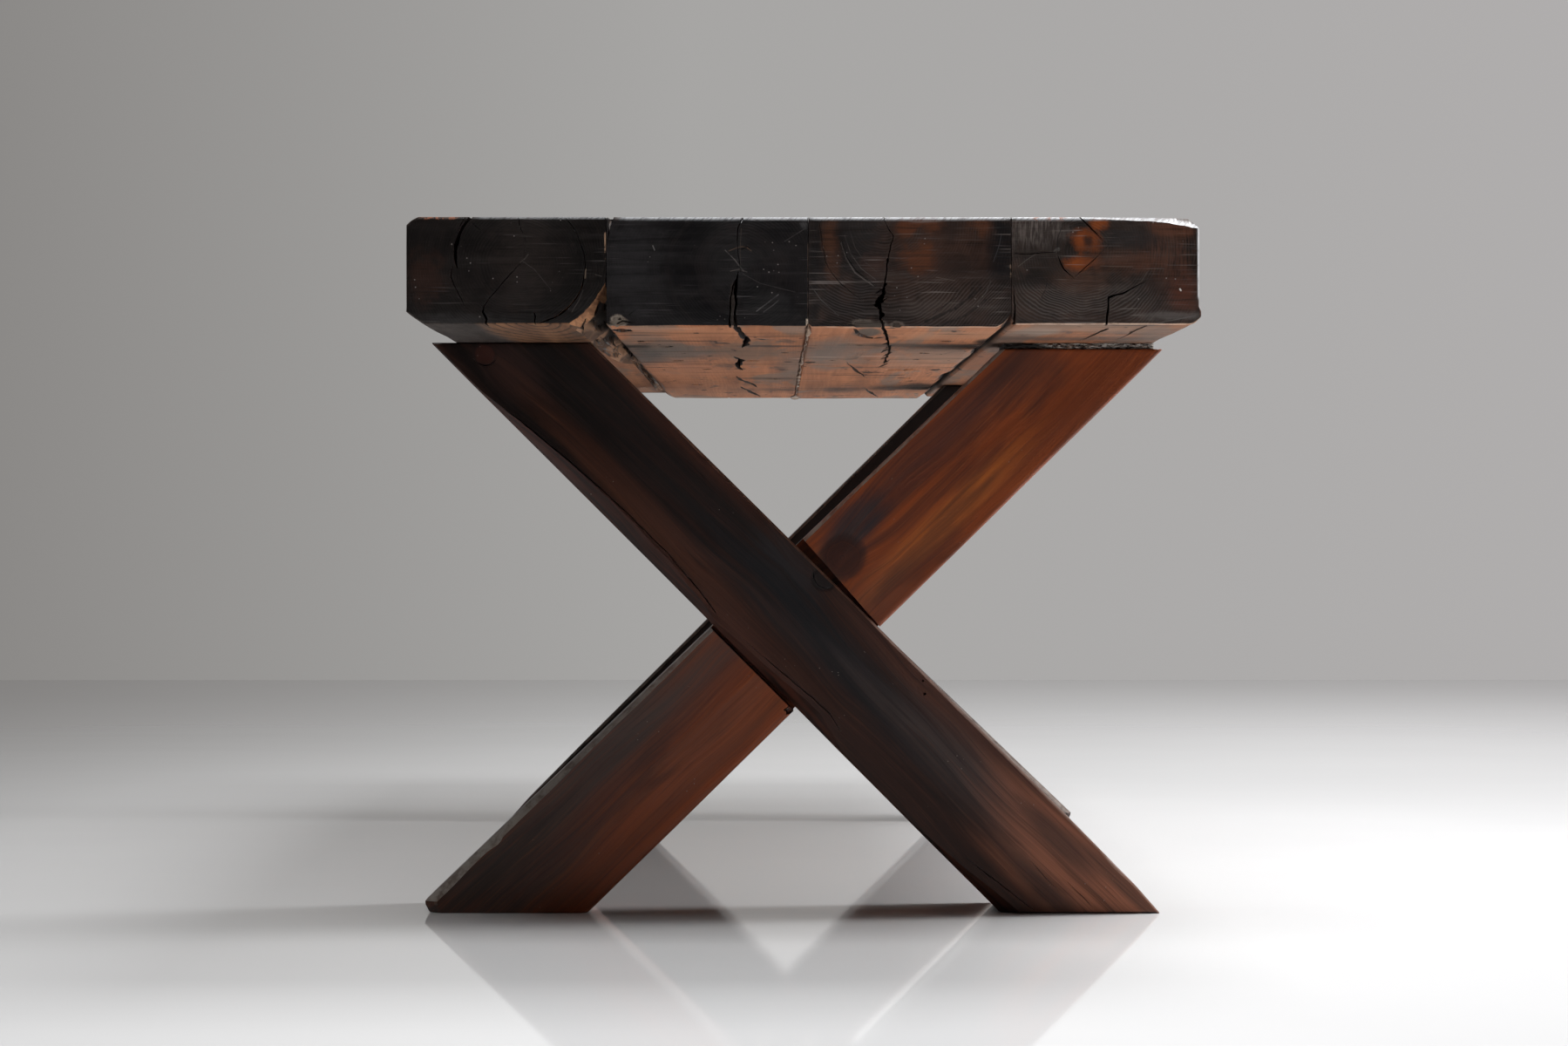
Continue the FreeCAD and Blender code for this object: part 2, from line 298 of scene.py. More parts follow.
def cut_away(ob, cutters):
    """Takes the cutters out of a timber."""
    outward(ob)
    for c in cutters:
        outward(c)
    box = bpy.data.collections.new("now")
    for c in cutters:
        box.objects.link(c)
    bpy.context.scene.collection.children.link(box)
    mod = ob.modifiers.new("cut", "BOOLEAN")
    mod.operation = "DIFFERENCE"
    mod.operand_type = "COLLECTION"
    mod.collection = box
    mod.solver = "MANIFOLD"
    dg = bpy.context.evaluated_depsgraph_get()
    new = bpy.data.meshes.new_from_object(ob.evaluated_get(dg))
    ob.modifiers.clear()
    old = ob.data
    ob.data = new
    bpy.data.meshes.remove(old)
    for c in cutters:
        me = c.data
        bpy.data.objects.remove(c)
        bpy.data.meshes.remove(me)
    bpy.context.scene.collection.children.unlink(box)
    bpy.data.collections.remove(box)
    return ob


def smooth(ob, angle=32.0):
    me = ob.data
    me.shade_smooth()
    me.set_sharp_from_angle(angle=math.radians(angle))


# faces that cracks are cut into
def near_end(a, b, into):
    return (a, -END + into, b)


def far_end(a, b, into):
    return (a, END - into, b)


def underside(z):
    return lambda a, b, into: (a, b, z + into)


# ------------------------------------------------------------------ timbers of the top
def stations():
    ends = np.array([0.0, 0.0003, 0.0009, 0.0018, 0.003, 0.0045])
    run = np.concatenate([np.arange(0.0065, 0.12, 0.004), np.arange(0.12, 0.75, 0.0055), np.arange(0.75, 1.9, 0.0075), np.arange(1.9, 1.996, 0.005)])
    return np.unique(np.concatenate([ends, run, 2.0 - ends]))


def arris(t, r):
    """How far a ring is drawn in near an end, for an eased arris of radius r."""
    d = np.minimum(t, 2.0 - t)
    k = np.clip(1 - d / r, 0, 1)
    return r * (1 - np.sqrt(np.clip(1 - k * k, 0, 1)))


def beam(name, index, corners, seed, arris_r=0.0022, lip_r=0.0040, joint_left=False, joint_right=False, bark=9):
    """corners: for bottom left, bottom right, top right and top left, a function of y that gives (across, up, shape)."""
    t = stations()
    y = -END + t
    xl, xr = EDGE[index] + (GAP if joint_left else 0), EDGE[index + 1] - (GAP if joint_right else 0)
    zb, zt = UNDER[index], TOP
    vals = [c(y) for c in corners]
    rings = []
    nx, nz = 46, 18
    for k in range(len(y)):
        pts = []
        (a0, b0, s0), (a1, b1, s1), (a2, b2, s2), (a3, b3, s3) = [(v[0][k], v[1][k], v[2]) for v in vals]
        f, g = corner(a0, b0, s0)
        pts += [(xl + g_, zb + f_) for f_, g_ in zip(*corner(b0, a0, s0))]
        pts += [(x, zb) for x in np.linspace(xl + a0, xr - a1, nx + 2)[1:-1]]
        f, g = corner(a1, b1, s1, bark)
        pts += [(xr - f_, zb + g_) for f_, g_ in zip(f, g)]
        pts += [(xr, z) for z in np.linspace(zb + b1, zt - b2, nz + 2)[1:-1]]
        f, g = corner(b2, a2, s2)
        pts += [(xr - g_, zt - f_) for f_, g_ in zip(f, g)]
        pts += [(x, zt) for x in np.linspace(xr - a2, xl + a3, nx + 2)[1:-1]]
        f, g = corner(a3, b3, s3)
        pts += [(xl + f_, zt - g_) for f_, g_ in zip(f, g)]
        pts += [(xl, z) for z in np.linspace(zt - b3, zb + b0, nz + 2)[1:-1]]
        rings.append(pts)
    rings = np.array(rings)
    m, n = rings.shape[:2]
    # sawn and planed unevenness, least in the joints
    normals = np.array([out_normals(r) for r in rings])
    girth = np.linspace(0, 0.64, n)[None, :] * np.ones((m, 1))
    yy = y[:, None] * np.ones((1, n))
    rough = 0.0006 * noise2(girth, yy, seed, 0.05, 0.30, 2) - 0.0004
    down = np.clip(-normals[..., 1], 0, 1) ** 4
    saw = 0.00028 * noise2(girth * 0.2, yy, seed + 3, 0.05, 0.012, 2)
    rough = rough + down * saw
    in_joint = np.zeros((m, n))
    if joint_left:
        in_joint = np.maximum(in_joint, np.clip(-normals[..., 0], 0, 1) ** 6)
    if joint_right:
        in_joint = np.maximum(in_joint, np.clip(normals[..., 0], 0, 1) ** 6)
    up = np.clip(normals[..., 1], 0, 1) ** 4
    rough = rough * (1 - in_joint) * (1 - 0.75 * up)
    rough = np.minimum(rough, 0.0)
    if bark > 9:
        # long furrows on the bark side
        first = 9 + nx
        part = np.zeros(n)
        part[first:first + bark] = np.sin(np.linspace(0, math.pi, bark)) ** 0.5
        torn = np.clip(4.5 * noise2(girth, yy, seed + 21, 0.022, 0.11, 2), 0, 1) * np.clip((yy + 0.965) / 0.03, 0, 1)
        rough = rough - part[None, :] * (0.0012 + 0.0012 * noise2(girth, yy, seed + 20, 0.006, 0.12, 3) + 0.0060 * torn)
    rings = rings + normals * rough[..., None]
    draw = arris(t, arris_r)[:, None] * (1 - up) + arris(t, lip_r)[:, None] * up
    draw = draw * (1 + 0.35 * noise2(girth, yy, seed + 8, 0.02, 0.02, 2) * (1 - 0.6 * up)) * (1 - 0.85 * in_joint)
    ease = normals.copy()
    if joint_left:
        ease[..., 0] = np.maximum(ease[..., 0], 0)
    if joint_right:
        ease[..., 0] = np.minimum(ease[..., 0], 0)
    rings = rings - ease * draw[..., None]
    out = np.stack([rings[..., 0], yy, rings[..., 1]], -1)
    return loft(name, out)


def const(a, b, shape, wander=0.25, seed=0, spots=()):
    def f(y):
        k = 1 + wander * noise1(y, seed + 50, 0.12, 3)
        extra = bumps(y, spots)
        return a * k + extra, b * k + extra * 0.9, shape
    return f


dowel_y = [-0.85, -0.425, 0.0, 0.425, 0.85]


def dowel_bores(joint, side):
    x = EDGE[joint]
    return [rod(0.010, (x - side * 0.002, y, 0.694), (x + side * 0.063, y, 0.694)) for y in dowel_y]


def screw_bores(x, end):
    return [rod(0.006, (x, y, 0.60), (x, y, 0.696), 16) for y in (end * 0.612, end * 0.572)]


def E(points):
    return [on_end(*p) for p in points]


def U(points, z=0.6375):
    return [on_under(*p, z) for p in points]


px = 1.0 / NEAR_PX

# left outer timber


def bark_side(y):
    at = [-1, -0.975, -0.955, -0.942, -0.905, -0.80, -0.5, -0.27, -0.16, -0.11, 1.0]
    a = np.interp(y, at, [0.0375, 0.0325, 0.0285, 0.0280, 0.0350, 0.0345, 0.0320, 0.0280, 0.0220, 0.0065, 0.0060])
    b = np.interp(y, at, [0.0435, 0.0365, 0.0310, 0.0300, 0.0390, 0.0355, 0.0310, 0.0260, 0.0200, 0.0060, 0.0055])
    k = 1 + 0.08 * noise1(y, 62, 0.08, 3)
    return a * k, b * k, 0.42


b1 = beam(
    "timber_left_outer", 0,
    [
        const(0.019, 0.013, 0.15, 0.18, 11, [(-0.96, 0.03, 0.002), (0.3, 0.1, 0.003)]),
        bark_side,
        const(0.0009, 0.0009, 0.6, 0.3, 13),
        const(0.0125, 0.0085, 0.35, 0.25, 14, [(-0.9, 0.04, 0.003), (-0.4, 0.05, 0.004), (0.5, 0.06, 0.003)]),
    ],
    101, lip_r=0.0028, joint_right=True, bark=21,
)
# left inner timber


def inner_low(y):
    k = 1 + 0.25 * noise1(y, 71, 0.10, 3)
    return np.interp(y, [-1, -0.5, 1], [0.0040, 0.0060, 0.0130]) * k, np.interp(y, [-1, -0.5, 1], [0.0040, 0.0055, 0.0085]) * k, 0.5


b2 = beam(
    "timber_left_inner", 1,
    [
        inner_low,
        const(0.0032, 0.0032, 0.3, 0.2, 22),
        const(0.0008, 0.0008, 0.6, 0.3, 23),
        const(0.0009, 0.0009, 0.6, 0.3, 24),
    ],
    102, joint_left=True, joint_right=True,
)
# right inner timber
b3 = beam(
    "timber_right_inner", 2,
    [
        const(0.0032, 0.0034, 0.3, 0.2, 31),
        const(0.0125, 0.0130, 0.6, 0.30, 32, [(-0.985, 0.03, 0.005), (-0.5, 0.12, 0.006), (0.2, 0.15, 0.005)]),
        const(0.0009, 0.0009, 0.6, 0.3, 33),
        const(0.0008, 0.0008, 0.6, 0.3, 34),
    ],
    103, joint_left=True, joint_right=True,
)
# right outer timber


def right_top(y):
    k = 1 + 0.25 * noise1(y, 44, 0.15, 3)
    return 0.0095 * k, 0.0135 * k, 0.45


b4 = beam(
    "timber_right_outer", 3,
    [
        const(0.0045, 0.0055, 0.5, 0.4, 41),
        const(0.0100, 0.0090, 0.9, 0.25, 42),
        right_top,
        const(0.0009, 0.0009, 0.6, 0.3, 43),
    ],
    104, joint_left=True,
)

# a sliver left standing on the right edge, by the near end
co = np.empty(len(b4.data.vertices) * 3)
b4.data.vertices.foreach_get("co", co)
co = co.reshape(-1, 3)
near_sliver = np.clip(2.2 - 2.2 * np.abs(co[:, 2] - 0.6520) / 0.0068, 0, 1) * np.clip((-0.978 - co[:, 1]) / 0.018, 0, 1) * (co[:, 0] > EDGE[4] - 0.004)
co[:, 0] += 0.0022 * near_sliver
b4.data.vertices.foreach_set("co", co.ravel())
b4.data.update()

w = px  # one pixel of the frame at the near end, as a length

# cracks in the left outer timber
cuts1 = [
    crack(E([(546, 243), (539, 251), (532, 260), (526, 272), (523, 281), (522, 290), (522.5, 299), (525, 309)]),
          [1.5 * w, 3.6 * w, 3.2 * w, 4 * w, 5.0 * w, 4.2 * w, 3.0 * w, 0.6 * w], 0.05, near_end, seed=1),
    crack(E([(536, 247), (530, 256), (525, 266)]), [0.6 * w, 1.0 * w, 0.5 * w], 0.02, near_end, seed=10),
    crack(E([(520, 305), (517, 317), (521, 328), (526, 337), (531, 347), (534, 353)]),
          [0.5 * w, 1.3 * w, 1.5 * w, 1.2 * w, 0.8 * w, 0.2 * w], 0.03, near_end, seed=2),
    crack(E([(643, 243), (649, 249), (658, 261), (663, 271), (667, 281), (670, 293), (671.5, 305), (671, 314), (667.5, 329), (661, 342),
             (653, 352), (643, 361), (631, 367), (619, 371)]),
          [1.4 * w, 0.9 * w, 0.7 * w, 0.6 * w, 0.6 * w, 0.7 * w, 0.9 * w, 1.0 * w, 1.2 * w, 1.4 * w, 1.8 * w, 2.2 * w, 1.8 * w, 1.4 * w],
          0.04, near_end, seed=3),
    crack(E([(594, 244), (596, 253), (598, 264), (600, 268)]), [1.3 * w, 1.0 * w, 0.7 * w, 0.2 * w], 0.03, near_end, seed=4),
    crack(E([(602, 270), (603, 282), (601, 298)]), [0.15 * w, 0.3 * w, 0.3 * w], 0.01, near_end, seed=4),
    crack(E([(600, 299), (591, 308), (581, 320), (571, 332), (562, 342), (555, 352), (554, 358), (559, 366), (557, 375)]),
          [0.4 * w, 0.8 * w, 1.0 * w, 1.0 * w, 1.2 * w, 1.7 * w, 2.2 * w, 3.2 * w, 3.6 * w], 0.04, near_end, seed=5),
    crack(E([(613, 359), (615, 364), (613, 369), (615, 375)]), [1.8 * w, 2.4 * w, 1.8 * w, 1.8 * w], 0.02, near_end, seed=6),
    crack(E([(541, 254), (548, 261), (553, 265)]), [0.4 * w, 0.7 * w, 0.3 * w], 0.012, near_end, seed=8),
]
# the rotted furrow on its bark side
cuts1.append(crack([(-0.2010, -0.972), (-0.2035, -0.94), (-0.2010, -0.88), (-0.2025, -0.78), (-0.2005, -0.66), (-0.2020, -0.50), (-0.2000, -0.36), (-0.1985, -0.15)],
                   [0.006, 0.014, 0.012, 0.008, 0.010, 0.007, 0.011, 0.010], 0.046, underside(UNDER[0]), step=0.010, jitter=0.003, seed=12, floor=0.55))
cuts1.append(crack([(-0.2160, -0.968), (-0.2200, -0.93), (-0.2140, -0.86), (-0.2110, -0.80)], [0.002, 0.007, 0.006, 0.001], 0.030, underside(UNDER[0]), step=0.008, jitter=0.003, seed=13))
cuts1.append(crack([(-0.2270, -0.93), (-0.2240, -0.88), (-0.2260, -0.82)], [0.001, 0.004, 0.001], 0.016, underside(UNDER[0]), step=0.008, jitter=0.002, seed=14))
cuts1.append(crack([(-0.2130, -0.62), (-0.2080, -0.50), (-0.2110, -0.36)], [0.001, 0.005, 0.001], 0.022, underside(UNDER[0]), step=0.012, jitter=0.003, seed=15))
cuts1.append(crack(E([(696.5, 292), (696, 318), (695.5, 346)]), [0.8 * w, 2.6 * w, 3.2 * w], 0.03, near_end, seed=9))
# worn away below at the far end
wedge = [(0.70, 0.6385), (1.02, 0.6385), (1.02, 0.6470)]
cuts1.append(cutter([(-0.45, a, b) for a, b in wedge] + [(-0.15, a, b) for a, b in wedge], [(0, 1, 2), (5, 4, 3), (0, 3, 4, 1), (1, 4, 5, 2), (2, 5, 3, 0)]))
cuts1.append(crack([(-0.318, 0.752), (-0.314, 0.735), (-0.306, 0.715), (-0.303, 0.697)], [0.0020, 0.0030, 0.0022, 0.0005], 0.035, far_end, seed=201))
cuts1.append(crack([(-0.300, 0.690), (-0.285, 0.676), (-0.268, 0.668), (-0.250, 0.664)], [0.0005, 0.0017, 0.0015, 0.0004], 0.020, far_end, seed=202))
cuts1 += dowel_bores(1, -1) + screw_bores(-0.300, -1) + screw_bores(-0.309, 1)
cut_away(b1, cuts1)

cuts2 = [
    crack(E([(851, 243), (852, 250), (850, 256)]), [6.0 * w, 3.0 * w, 1.2 * w], 0.02, near_end, seed=21),
    crack(E([(850, 252), (847, 262), (846, 275), (847, 290), (849, 303), (850, 312)]),
          [1.4 * w, 1.0 * w, 0.9 * w, 0.6 * w, 0.6 * w, 0.6 * w], 0.03, near_end, seed=22),
    crack(E([(846, 318), (841, 328), (838, 341), (838, 355), (837, 368), (838, 377)]),
          [0.6 * w, 1.6 * w, 2.2 * w, 2.2 * w, 2.4 * w, 2.6 * w], 0.035, near_end, seed=23),
    crack(E([(848, 312), (845, 324), (844, 336), (845, 348), (843, 360), (844, 377)]),
          [0.6 * w, 3.0 * w, 3.8 * w, 3.2 * w, 3.6 * w, 5.0 * w], 0.05, near_end, seed=24),
    crack(E([(727, 371), (715, 368), (708, 372)]), [0.6 * w, 2.0 * w, 3.0 * w], 0.02, near_end, seed=25),
    crack(E([(850, 286), (858, 283), (862, 287)]), [0.8 * w, 1.2 * w, 0.3 * w], 0.01, near_end, seed=26),
]
under2 = underside(UNDER[1])
zz = [(846, 376), (850, 384), (857, 390), (856, 396), (851, 399)]
cuts2 += [
    crack(U(zz), [0.007, 0.009, 0.009, 0.008, 0.001], 0.016, under2, step=0.012, jitter=0.002, seed=27),
    crack(U([(842, 409), (850, 413), (846, 419), (852, 425)]), [0.001, 0.010, 0.011, 0.002], 0.016, under2, step=0.015, jitter=0.002, seed=28),
    crack(U([(845, 432), (852, 437), (862, 441), (869, 445)]), [0.002, 0.009, 0.008, 0.001], 0.014, under2, step=0.02, jitter=0.003, seed=29),
    crack(U([(849, 444), (860, 449), (866, 453), (874, 456)]), [0.002, 0.008, 0.007, 0.001], 0.014, under2, step=0.02, jitter=0.003, seed=30),
]
for k, (cx, cy, sx) in enumerate([(765, 398, 0.019), (778, 414, 0.016), (863, 414, 0.020), (886, 435, 0.026), (812, 424, 0.014), (735, 392, 0.012),
                                  (800, 442, 0.020), (900, 405, 0.012)]):
    cuts2.append(pit(on_under(cx, cy), (sx, sx * 1.6), 0.0028, under2, seed=60 + k, floor=0.75))
cuts2.append(pit(on_under(713, 379.5), (0.021, 0.075), 0.014, under2, seed=95, floor=0.8))
cuts2.append(pit(on_end(709.5, 369), (19 * w, 13 * w), 0.0022, near_end, seed=96, floor=0.9))
cuts2.append(pit(on_end(711, 366), (4.4 * w, 3.6 * w), 0.008, near_end, seed=97, points=9))
cuts2.append(crack(E([(701.5, 242), (700, 250), (698.6, 262), (698, 272)]), [14 * w, 8 * w, 2.6 * w, 0.8 * w], 0.035, near_end, seed=20))
cuts2.append(crack([(-0.092, 0.635), (-0.096, 0.655), (-0.089, 0.676), (-0.093, 0.700), (-0.090, 0.716)], [0.0034, 0.0040, 0.0026, 0.0016, 0.0004], 0.040, far_end, seed=203))
cuts2.append(crack([(-0.150, 0.700), (-0.141, 0.715), (-0.126, 0.725), (-0.108, 0.729)], [0.0005, 0.0014, 0.0013, 0.0004], 0.015, far_end, seed=204))
cuts2 += dowel_bores(1, 1) + dowel_bores(2, -1)
cut_away(b2, cuts2)

cuts3 = [
    crack(E([(1013, 243), (1015, 252), (1020, 263), (1025, 271), (1022, 282), (1020, 292), (1017, 306), (1016, 320), (1013, 334)]),
          [2.6 * w, 1.0 * w, 0.9 * w, 1.4 * w, 1.4 * w, 1.6 * w, 1.6 * w, 1.8 * w, 2.4 * w], 0.035, near_end, step=0.003, jitter=0.0009, seed=31),
    crack(E([(1015, 330), (1012, 338), (1008, 346), (1011, 356), (1010, 366), (1013, 378)]),
          [1.0 * w, 4.5 * w, 6.0 * w, 3.5 * w, 3.0 * w, 4.0 * w], 0.045, near_end, step=0.0018, jitter=0.0020, seed=32),
    crack(E([(1001, 349), (1009, 347), (1019, 342)]), [0.6 * w, 2.4 * w, 0.8 * w], 0.02, near_end, step=0.002, jitter=0.001, seed=39),
    crack(E([(1004, 336), (1012, 333), (1017, 336)]), [0.5 * w, 2.0 * w, 0.5 * w], 0.015, near_end, step=0.002, jitter=0.001, seed=40),
    crack(E([(940, 254), (942, 270), (947, 300), (956, 315), (966, 327), (991, 345)]),
          [0.5 * w, 0.7 * w, 0.8 * w, 0.8 * w, 0.8 * w, 0.3 * w], 0.008, near_end, seed=33),
    crack(E([(966, 277), (972, 295), (981, 309), (1004, 327)]), [0.4 * w, 0.7 * w, 0.8 * w, 0.3 * w], 0.008, near_end, seed=34),
    crack(E([(1068, 362), (1085, 350), (1099, 338)]), [0.4 * w, 0.9 * w, 0.3 * w], 0.008, near_end, seed=35),
]
under3 = underside(UNDER[2])
cuts3 += [
    crack(U([(1013, 376), (1017, 388), (1021, 402), (1016, 412), (1014, 420)]), [0.005, 0.004, 0.0035, 0.003, 0.0005], 0.014, under3, step=0.012, jitter=0.002, seed=36),
    crack(U([(970, 415), (982, 424), (995, 434)]), [0.001, 0.006, 0.001], 0.010, under3, step=0.02, jitter=0.003, seed=37),
    crack(U([(991, 445), (998, 450), (1006, 456)]), [0.001, 0.008, 0.001], 0.010, under3, step=0.02, jitter=0.003, seed=38),
]
for k, (cx, cy, sx) in enumerate([(955, 413, 0.010), (963, 447, 0.026), (1033, 424, 0.050), (1038, 434, 0.022), (1060, 405, 0.014), (985, 396, 0.012), (1085, 391, 0.014)]):
    cuts3.append(pit(on_under(cx, cy), (sx, sx * 1.3), 0.0026, under3, seed=80 + k, floor=0.75))
cuts3 += [pit(on_end(995, 372.5), (40 * w, 9 * w), 0.0024, near_end, seed=91, floor=0.92), pit(on_end(1029, 373), (13 * w, 8 * w), 0.0030, near_end, seed=92, floor=0.85)]
cuts3.append(crack(U([(981, 377), (984, 382), (991, 386.5), (1001, 388.5), (1013, 387)]), [0.004, 0.008, 0.010, 0.010, 0.004], 0.010, under3, step=0.010, jitter=0.001, seed=93))
for k in range(7):
    cx, cy = 1017.5 + (1.8 if k % 2 else -1.6) - 0.4 * k, 394.0 + 4.1 * k
    dx, dy = 3.6 + 0.7 * (k * 3 % 5), 1.9 + 0.4 * (k * 5 % 4)
    cuts3.append(crack(U([(cx - dx, cy + dy), (cx, cy), (cx + dx, cy - dy)]), [0.0008, 0.0042, 0.0008], 0.010, under3, step=0.012, jitter=0.0008, seed=140 + k))
for k, (cx, cy, sx, sz) in enumerate([(1010.5, 344, 8.5, 10), (1014, 335, 5.5, 6), (1006.5, 350.5, 6, 5), (1012.5, 361, 4.5, 7), (1016, 326, 3.5, 5), (1018.5, 299, 3.2, 6)]):
    cuts3.append(pit(on_end(cx, cy), (sx * w, sz * w), 0.022, near_end, seed=150 + k, points=11, floor=0.5))
cuts3.append(crack([(0.110, 0.752), (0.108, 0.733), (0.113, 0.712), (0.106, 0.692), (0.109, 0.672)], [0.0030, 0.0036, 0.0042, 0.0026, 0.0005], 0.045, far_end, seed=205))
cuts3 += dowel_bores(2, 1) + dowel_bores(3, -1)
cut_away(b3, cuts3)

cuts4 = [
    crack(E([(1235, 243), (1241, 251), (1250, 260), (1257, 267), (1265, 275)]), [2.2 * w, 1.8 * w, 1.8 * w, 1.4 * w, 0.4 * w], 0.03, near_end, seed=41),
    crack(E([(1165, 291), (1180, 291.5), (1196, 289.5), (1213, 289)]), [1.4 * w, 1.2 * w, 1.0 * w, 0.3 * w], 0.02, near_end, seed=42),
    crack(E([(1213, 292), (1217, 301), (1221, 309), (1233, 319)]), [0.5 * w, 1.5 * w, 1.5 * w, 0.4 * w], 0.02, near_end, seed=43),
    crack(E([(1234, 317), (1244, 308), (1253, 299), (1263, 290)]), [0.4 * w, 1.3 * w, 1.3 * w, 0.3 * w], 0.02, near_end, seed=44),
    crack(E([(1270, 378), (1271, 360), (1272, 341), (1279, 338.5), (1289, 337), (1301, 330), (1314, 322)]),
          [3.0 * w, 2.4 * w, 2.4 * w, 2.2 * w, 1.8 * w, 1.2 * w, 0.3 * w], 0.035, near_end, seed=45),
    crack(E([(1193, 345), (1199, 333), (1202, 322)]), [0.3 * w, 0.9 * w, 0.3 * w], 0.008, near_end, seed=46),
]
under4 = underside(UNDER[3])
cuts4 += [
    crack(U([(1270, 377), (1256, 384), (1240, 391)], 0.640), [0.005, 0.004, 0.0005], 0.014, under4, step=0.012, jitter=0.002, seed=47),
    crack(U([(1315, 374), (1300, 381), (1284, 389)], 0.640), [0.003, 0.003, 0.0005], 0.012, under4, step=0.012, jitter=0.002, seed=48),
]
cuts4.append(crack(U([(1304, 377.5), (1296, 381.5)], 0.640), [0.001, 0.002], 0.008, under4, step=0.006, jitter=0.001, seed=51))
bevel_steps = [(1226, 0.8), (1255, 2.2), (1290, 3.4), (1320, 4.4), (1345, 6.4), (1360, 9.0), (1372, 12.0), (1392, 15.0)]
cuts4.append(end_bevel([(on_end(p, 0)[0], v * MM, v * MM * 2.4) for p, v in bevel_steps], 49))
cuts4.append(crack(E([(1163, 326), (1164, 350), (1164.5, 378)]), [0.4 * w, 1.8 * w, 3.4 * w], 0.03, near_end, seed=50))
cuts4.append(crack([(0.272, 0.635), (0.275, 0.655), (0.283, 0.672), (0.296, 0.684), (0.312, 0.690)], [0.0030, 0.0026, 0.0016, 0.0012, 0.0004], 0.030, far_end, seed=206))
cuts4.append(crack([(0.345, 0.752), (0.341, 0.738), (0.334, 0.727)], [0.0022, 0.0018, 0.0004], 0.020, far_end, seed=207))
cuts4 += dowel_bores(3, 1) + screw_bores(0.309, -1) + screw_bores(0.300, 1)
cut_away(b4, cuts4)

beams = [b1, b2, b3, b4]

# ------------------------------------------------------------------ legs


def leg(name, left, right, y0, y1, height, corners, seed):
    """A leaning timber cut level at both ends. left and right give x at a height; corners are front left, front right, back right, back left."""
    ends = np.array([0.0, 0.0003, 0.001, 0.002])
    z = np.unique(np.concatenate([ends, np.arange(0.005, height - 0.004, 0.004), height - ends]))
    xl, xr = left(z), right(z)
    vals = [c(z) for c in corners]
    nx, ny = 34, 22
    rings = []
    for k in range(len(z)):
        (a0, b0, s0), (a1, b1_, s1), (a2, b2_, s2), (a3, b3_, s3) = [(v[0][k], v[1][k], v[2]) for v in vals]
        pts = []
        f, g = corner(b0, a0, s0)
        pts += [(xl[k] + g_, y0 + f_) for f_, g_ in zip(f, g)]
        pts += [(x, y0) for x in np.linspace(xl[k] + a0, xr[k] - a1, nx + 2)[1:-1]]
        f, g = corner(a1, b1_, s1)
        pts += [(xr[k] - f_, y0 + g_) for f_, g_ in zip(f, g)]
        pts += [(xr[k], y) for y in np.linspace(y0 + b1_, y1 - b2_, ny + 2)[1:-1]]
        f, g = corner(b2_, a2, s2)
        pts += [(xr[k] - g_, y1 - f_) for f_, g_ in zip(f, g)]
        pts += [(x, y1) for x in np.linspace(xr[k] - a2, xl[k] + a3, nx + 2)[1:-1]]
        f, g = corner(a3, b3_, s3)
        pts += [(xl[k] + f_, y1 - g_) for f_, g_ in zip(f, g)]
        pts += [(xl[k], y) for y in np.linspace(y1 - b3_, y0 + b0, ny + 2)[1:-1]]
        rings.append(pts)
    rings = np.array(rings)
    m, n = rings.shape[:2]
    normals = np.array([out_normals(r) for r in rings])
    girth = np.linspace(0, 0.6, n)[None, :] * np.ones((m, 1))
    zz_ = z[:, None] * np.ones((1, n))
    rough = 0.0010 * noise2(girth, zz_, seed, 0.06, 0.16, 2) - 0.0007
    rings = rings + normals * np.minimum(rough, 0)[..., None]
    d = np.minimum(z, height - z)
    k = np.clip(1 - d / 0.002, 0, 1)
    draw = 0.002 * (1 - np.sqrt(np.clip(1 - k * k, 0, 1)))
    rings = rings - normals * draw[:, None, None]
    out = np.stack([rings[..., 0], rings[..., 1], zz_], -1)
    return loft(name, out)


def line(foot, top, height, low_z=0.0):
    return lambda z: foot + (top - foot) * (z - low_z) / (height - low_z)


thru_l = line(THRU_FOOT[0], THRU_TOP[0], UNDER_A)
thru_straight = line(THRU_FOOT[1], THRU_TOP[1], UNDER_A)


def thru_r(z):
    return thru_straight(z) + np.interp(z, [0, 0.03, 0.11, 0.25, 0.33, 0.44, 0.55, 0.64], [0, 0.0035, 0.0048, 0.0043, 0.0040, 0.0030, 0.0015, 0])


lap_r = line(LAP_FOOT[1], LAP_TOP[1], LAP_Z)


def lap_l(z):
    x = LAP_FOOT[0] + (LAP_TOP[0] - LAP_FOOT[0]) * (z - 0.012) / (LAP_Z - 0.012)
    return np.where(z < 0.012, LAP_FOOT[0] + 0.006 * (0.012 - z) / 0.012, x)


def leg_corner(a, b, shape, wander=0.3, seed=0, spots=()):
    def f(z):
        k = 1 + wander * noise1(z, seed + 70, 0.05, 3)
        e = bumps(z, spots)
        return a * k + e, b * k + e * 0.7, shape
    return f


# width of the bark-side bevel on the through leg's lower outer arris, read down the leg
bevel_px = [(394, 2.5), (450, 3), (482, 13), (520, 20), (558, 25), (600, 26), (638, 25), (690, 15), (714, 8), (765, 15), (800, 21), (819, 22),
            (845, 12), (860, 4), (900, 3), (950, 3), (990, 10), (1023, 19), (1050, 25)]
bevel_z = np.array([on_leg(0, p)[1] for p, _ in bevel_px])[::-1]
bevel_w = np.array([v / LEG_PX for _, v in bevel_px])[::-1]


def thru_bevel(z):
    wid = np.interp(z, bevel_z, bevel_w)
    wid = wid * (1 + 0.10 * noise1(z, 71, 0.03, 3)) + 0.0004
    return wid, wid * 0.62, 0.12


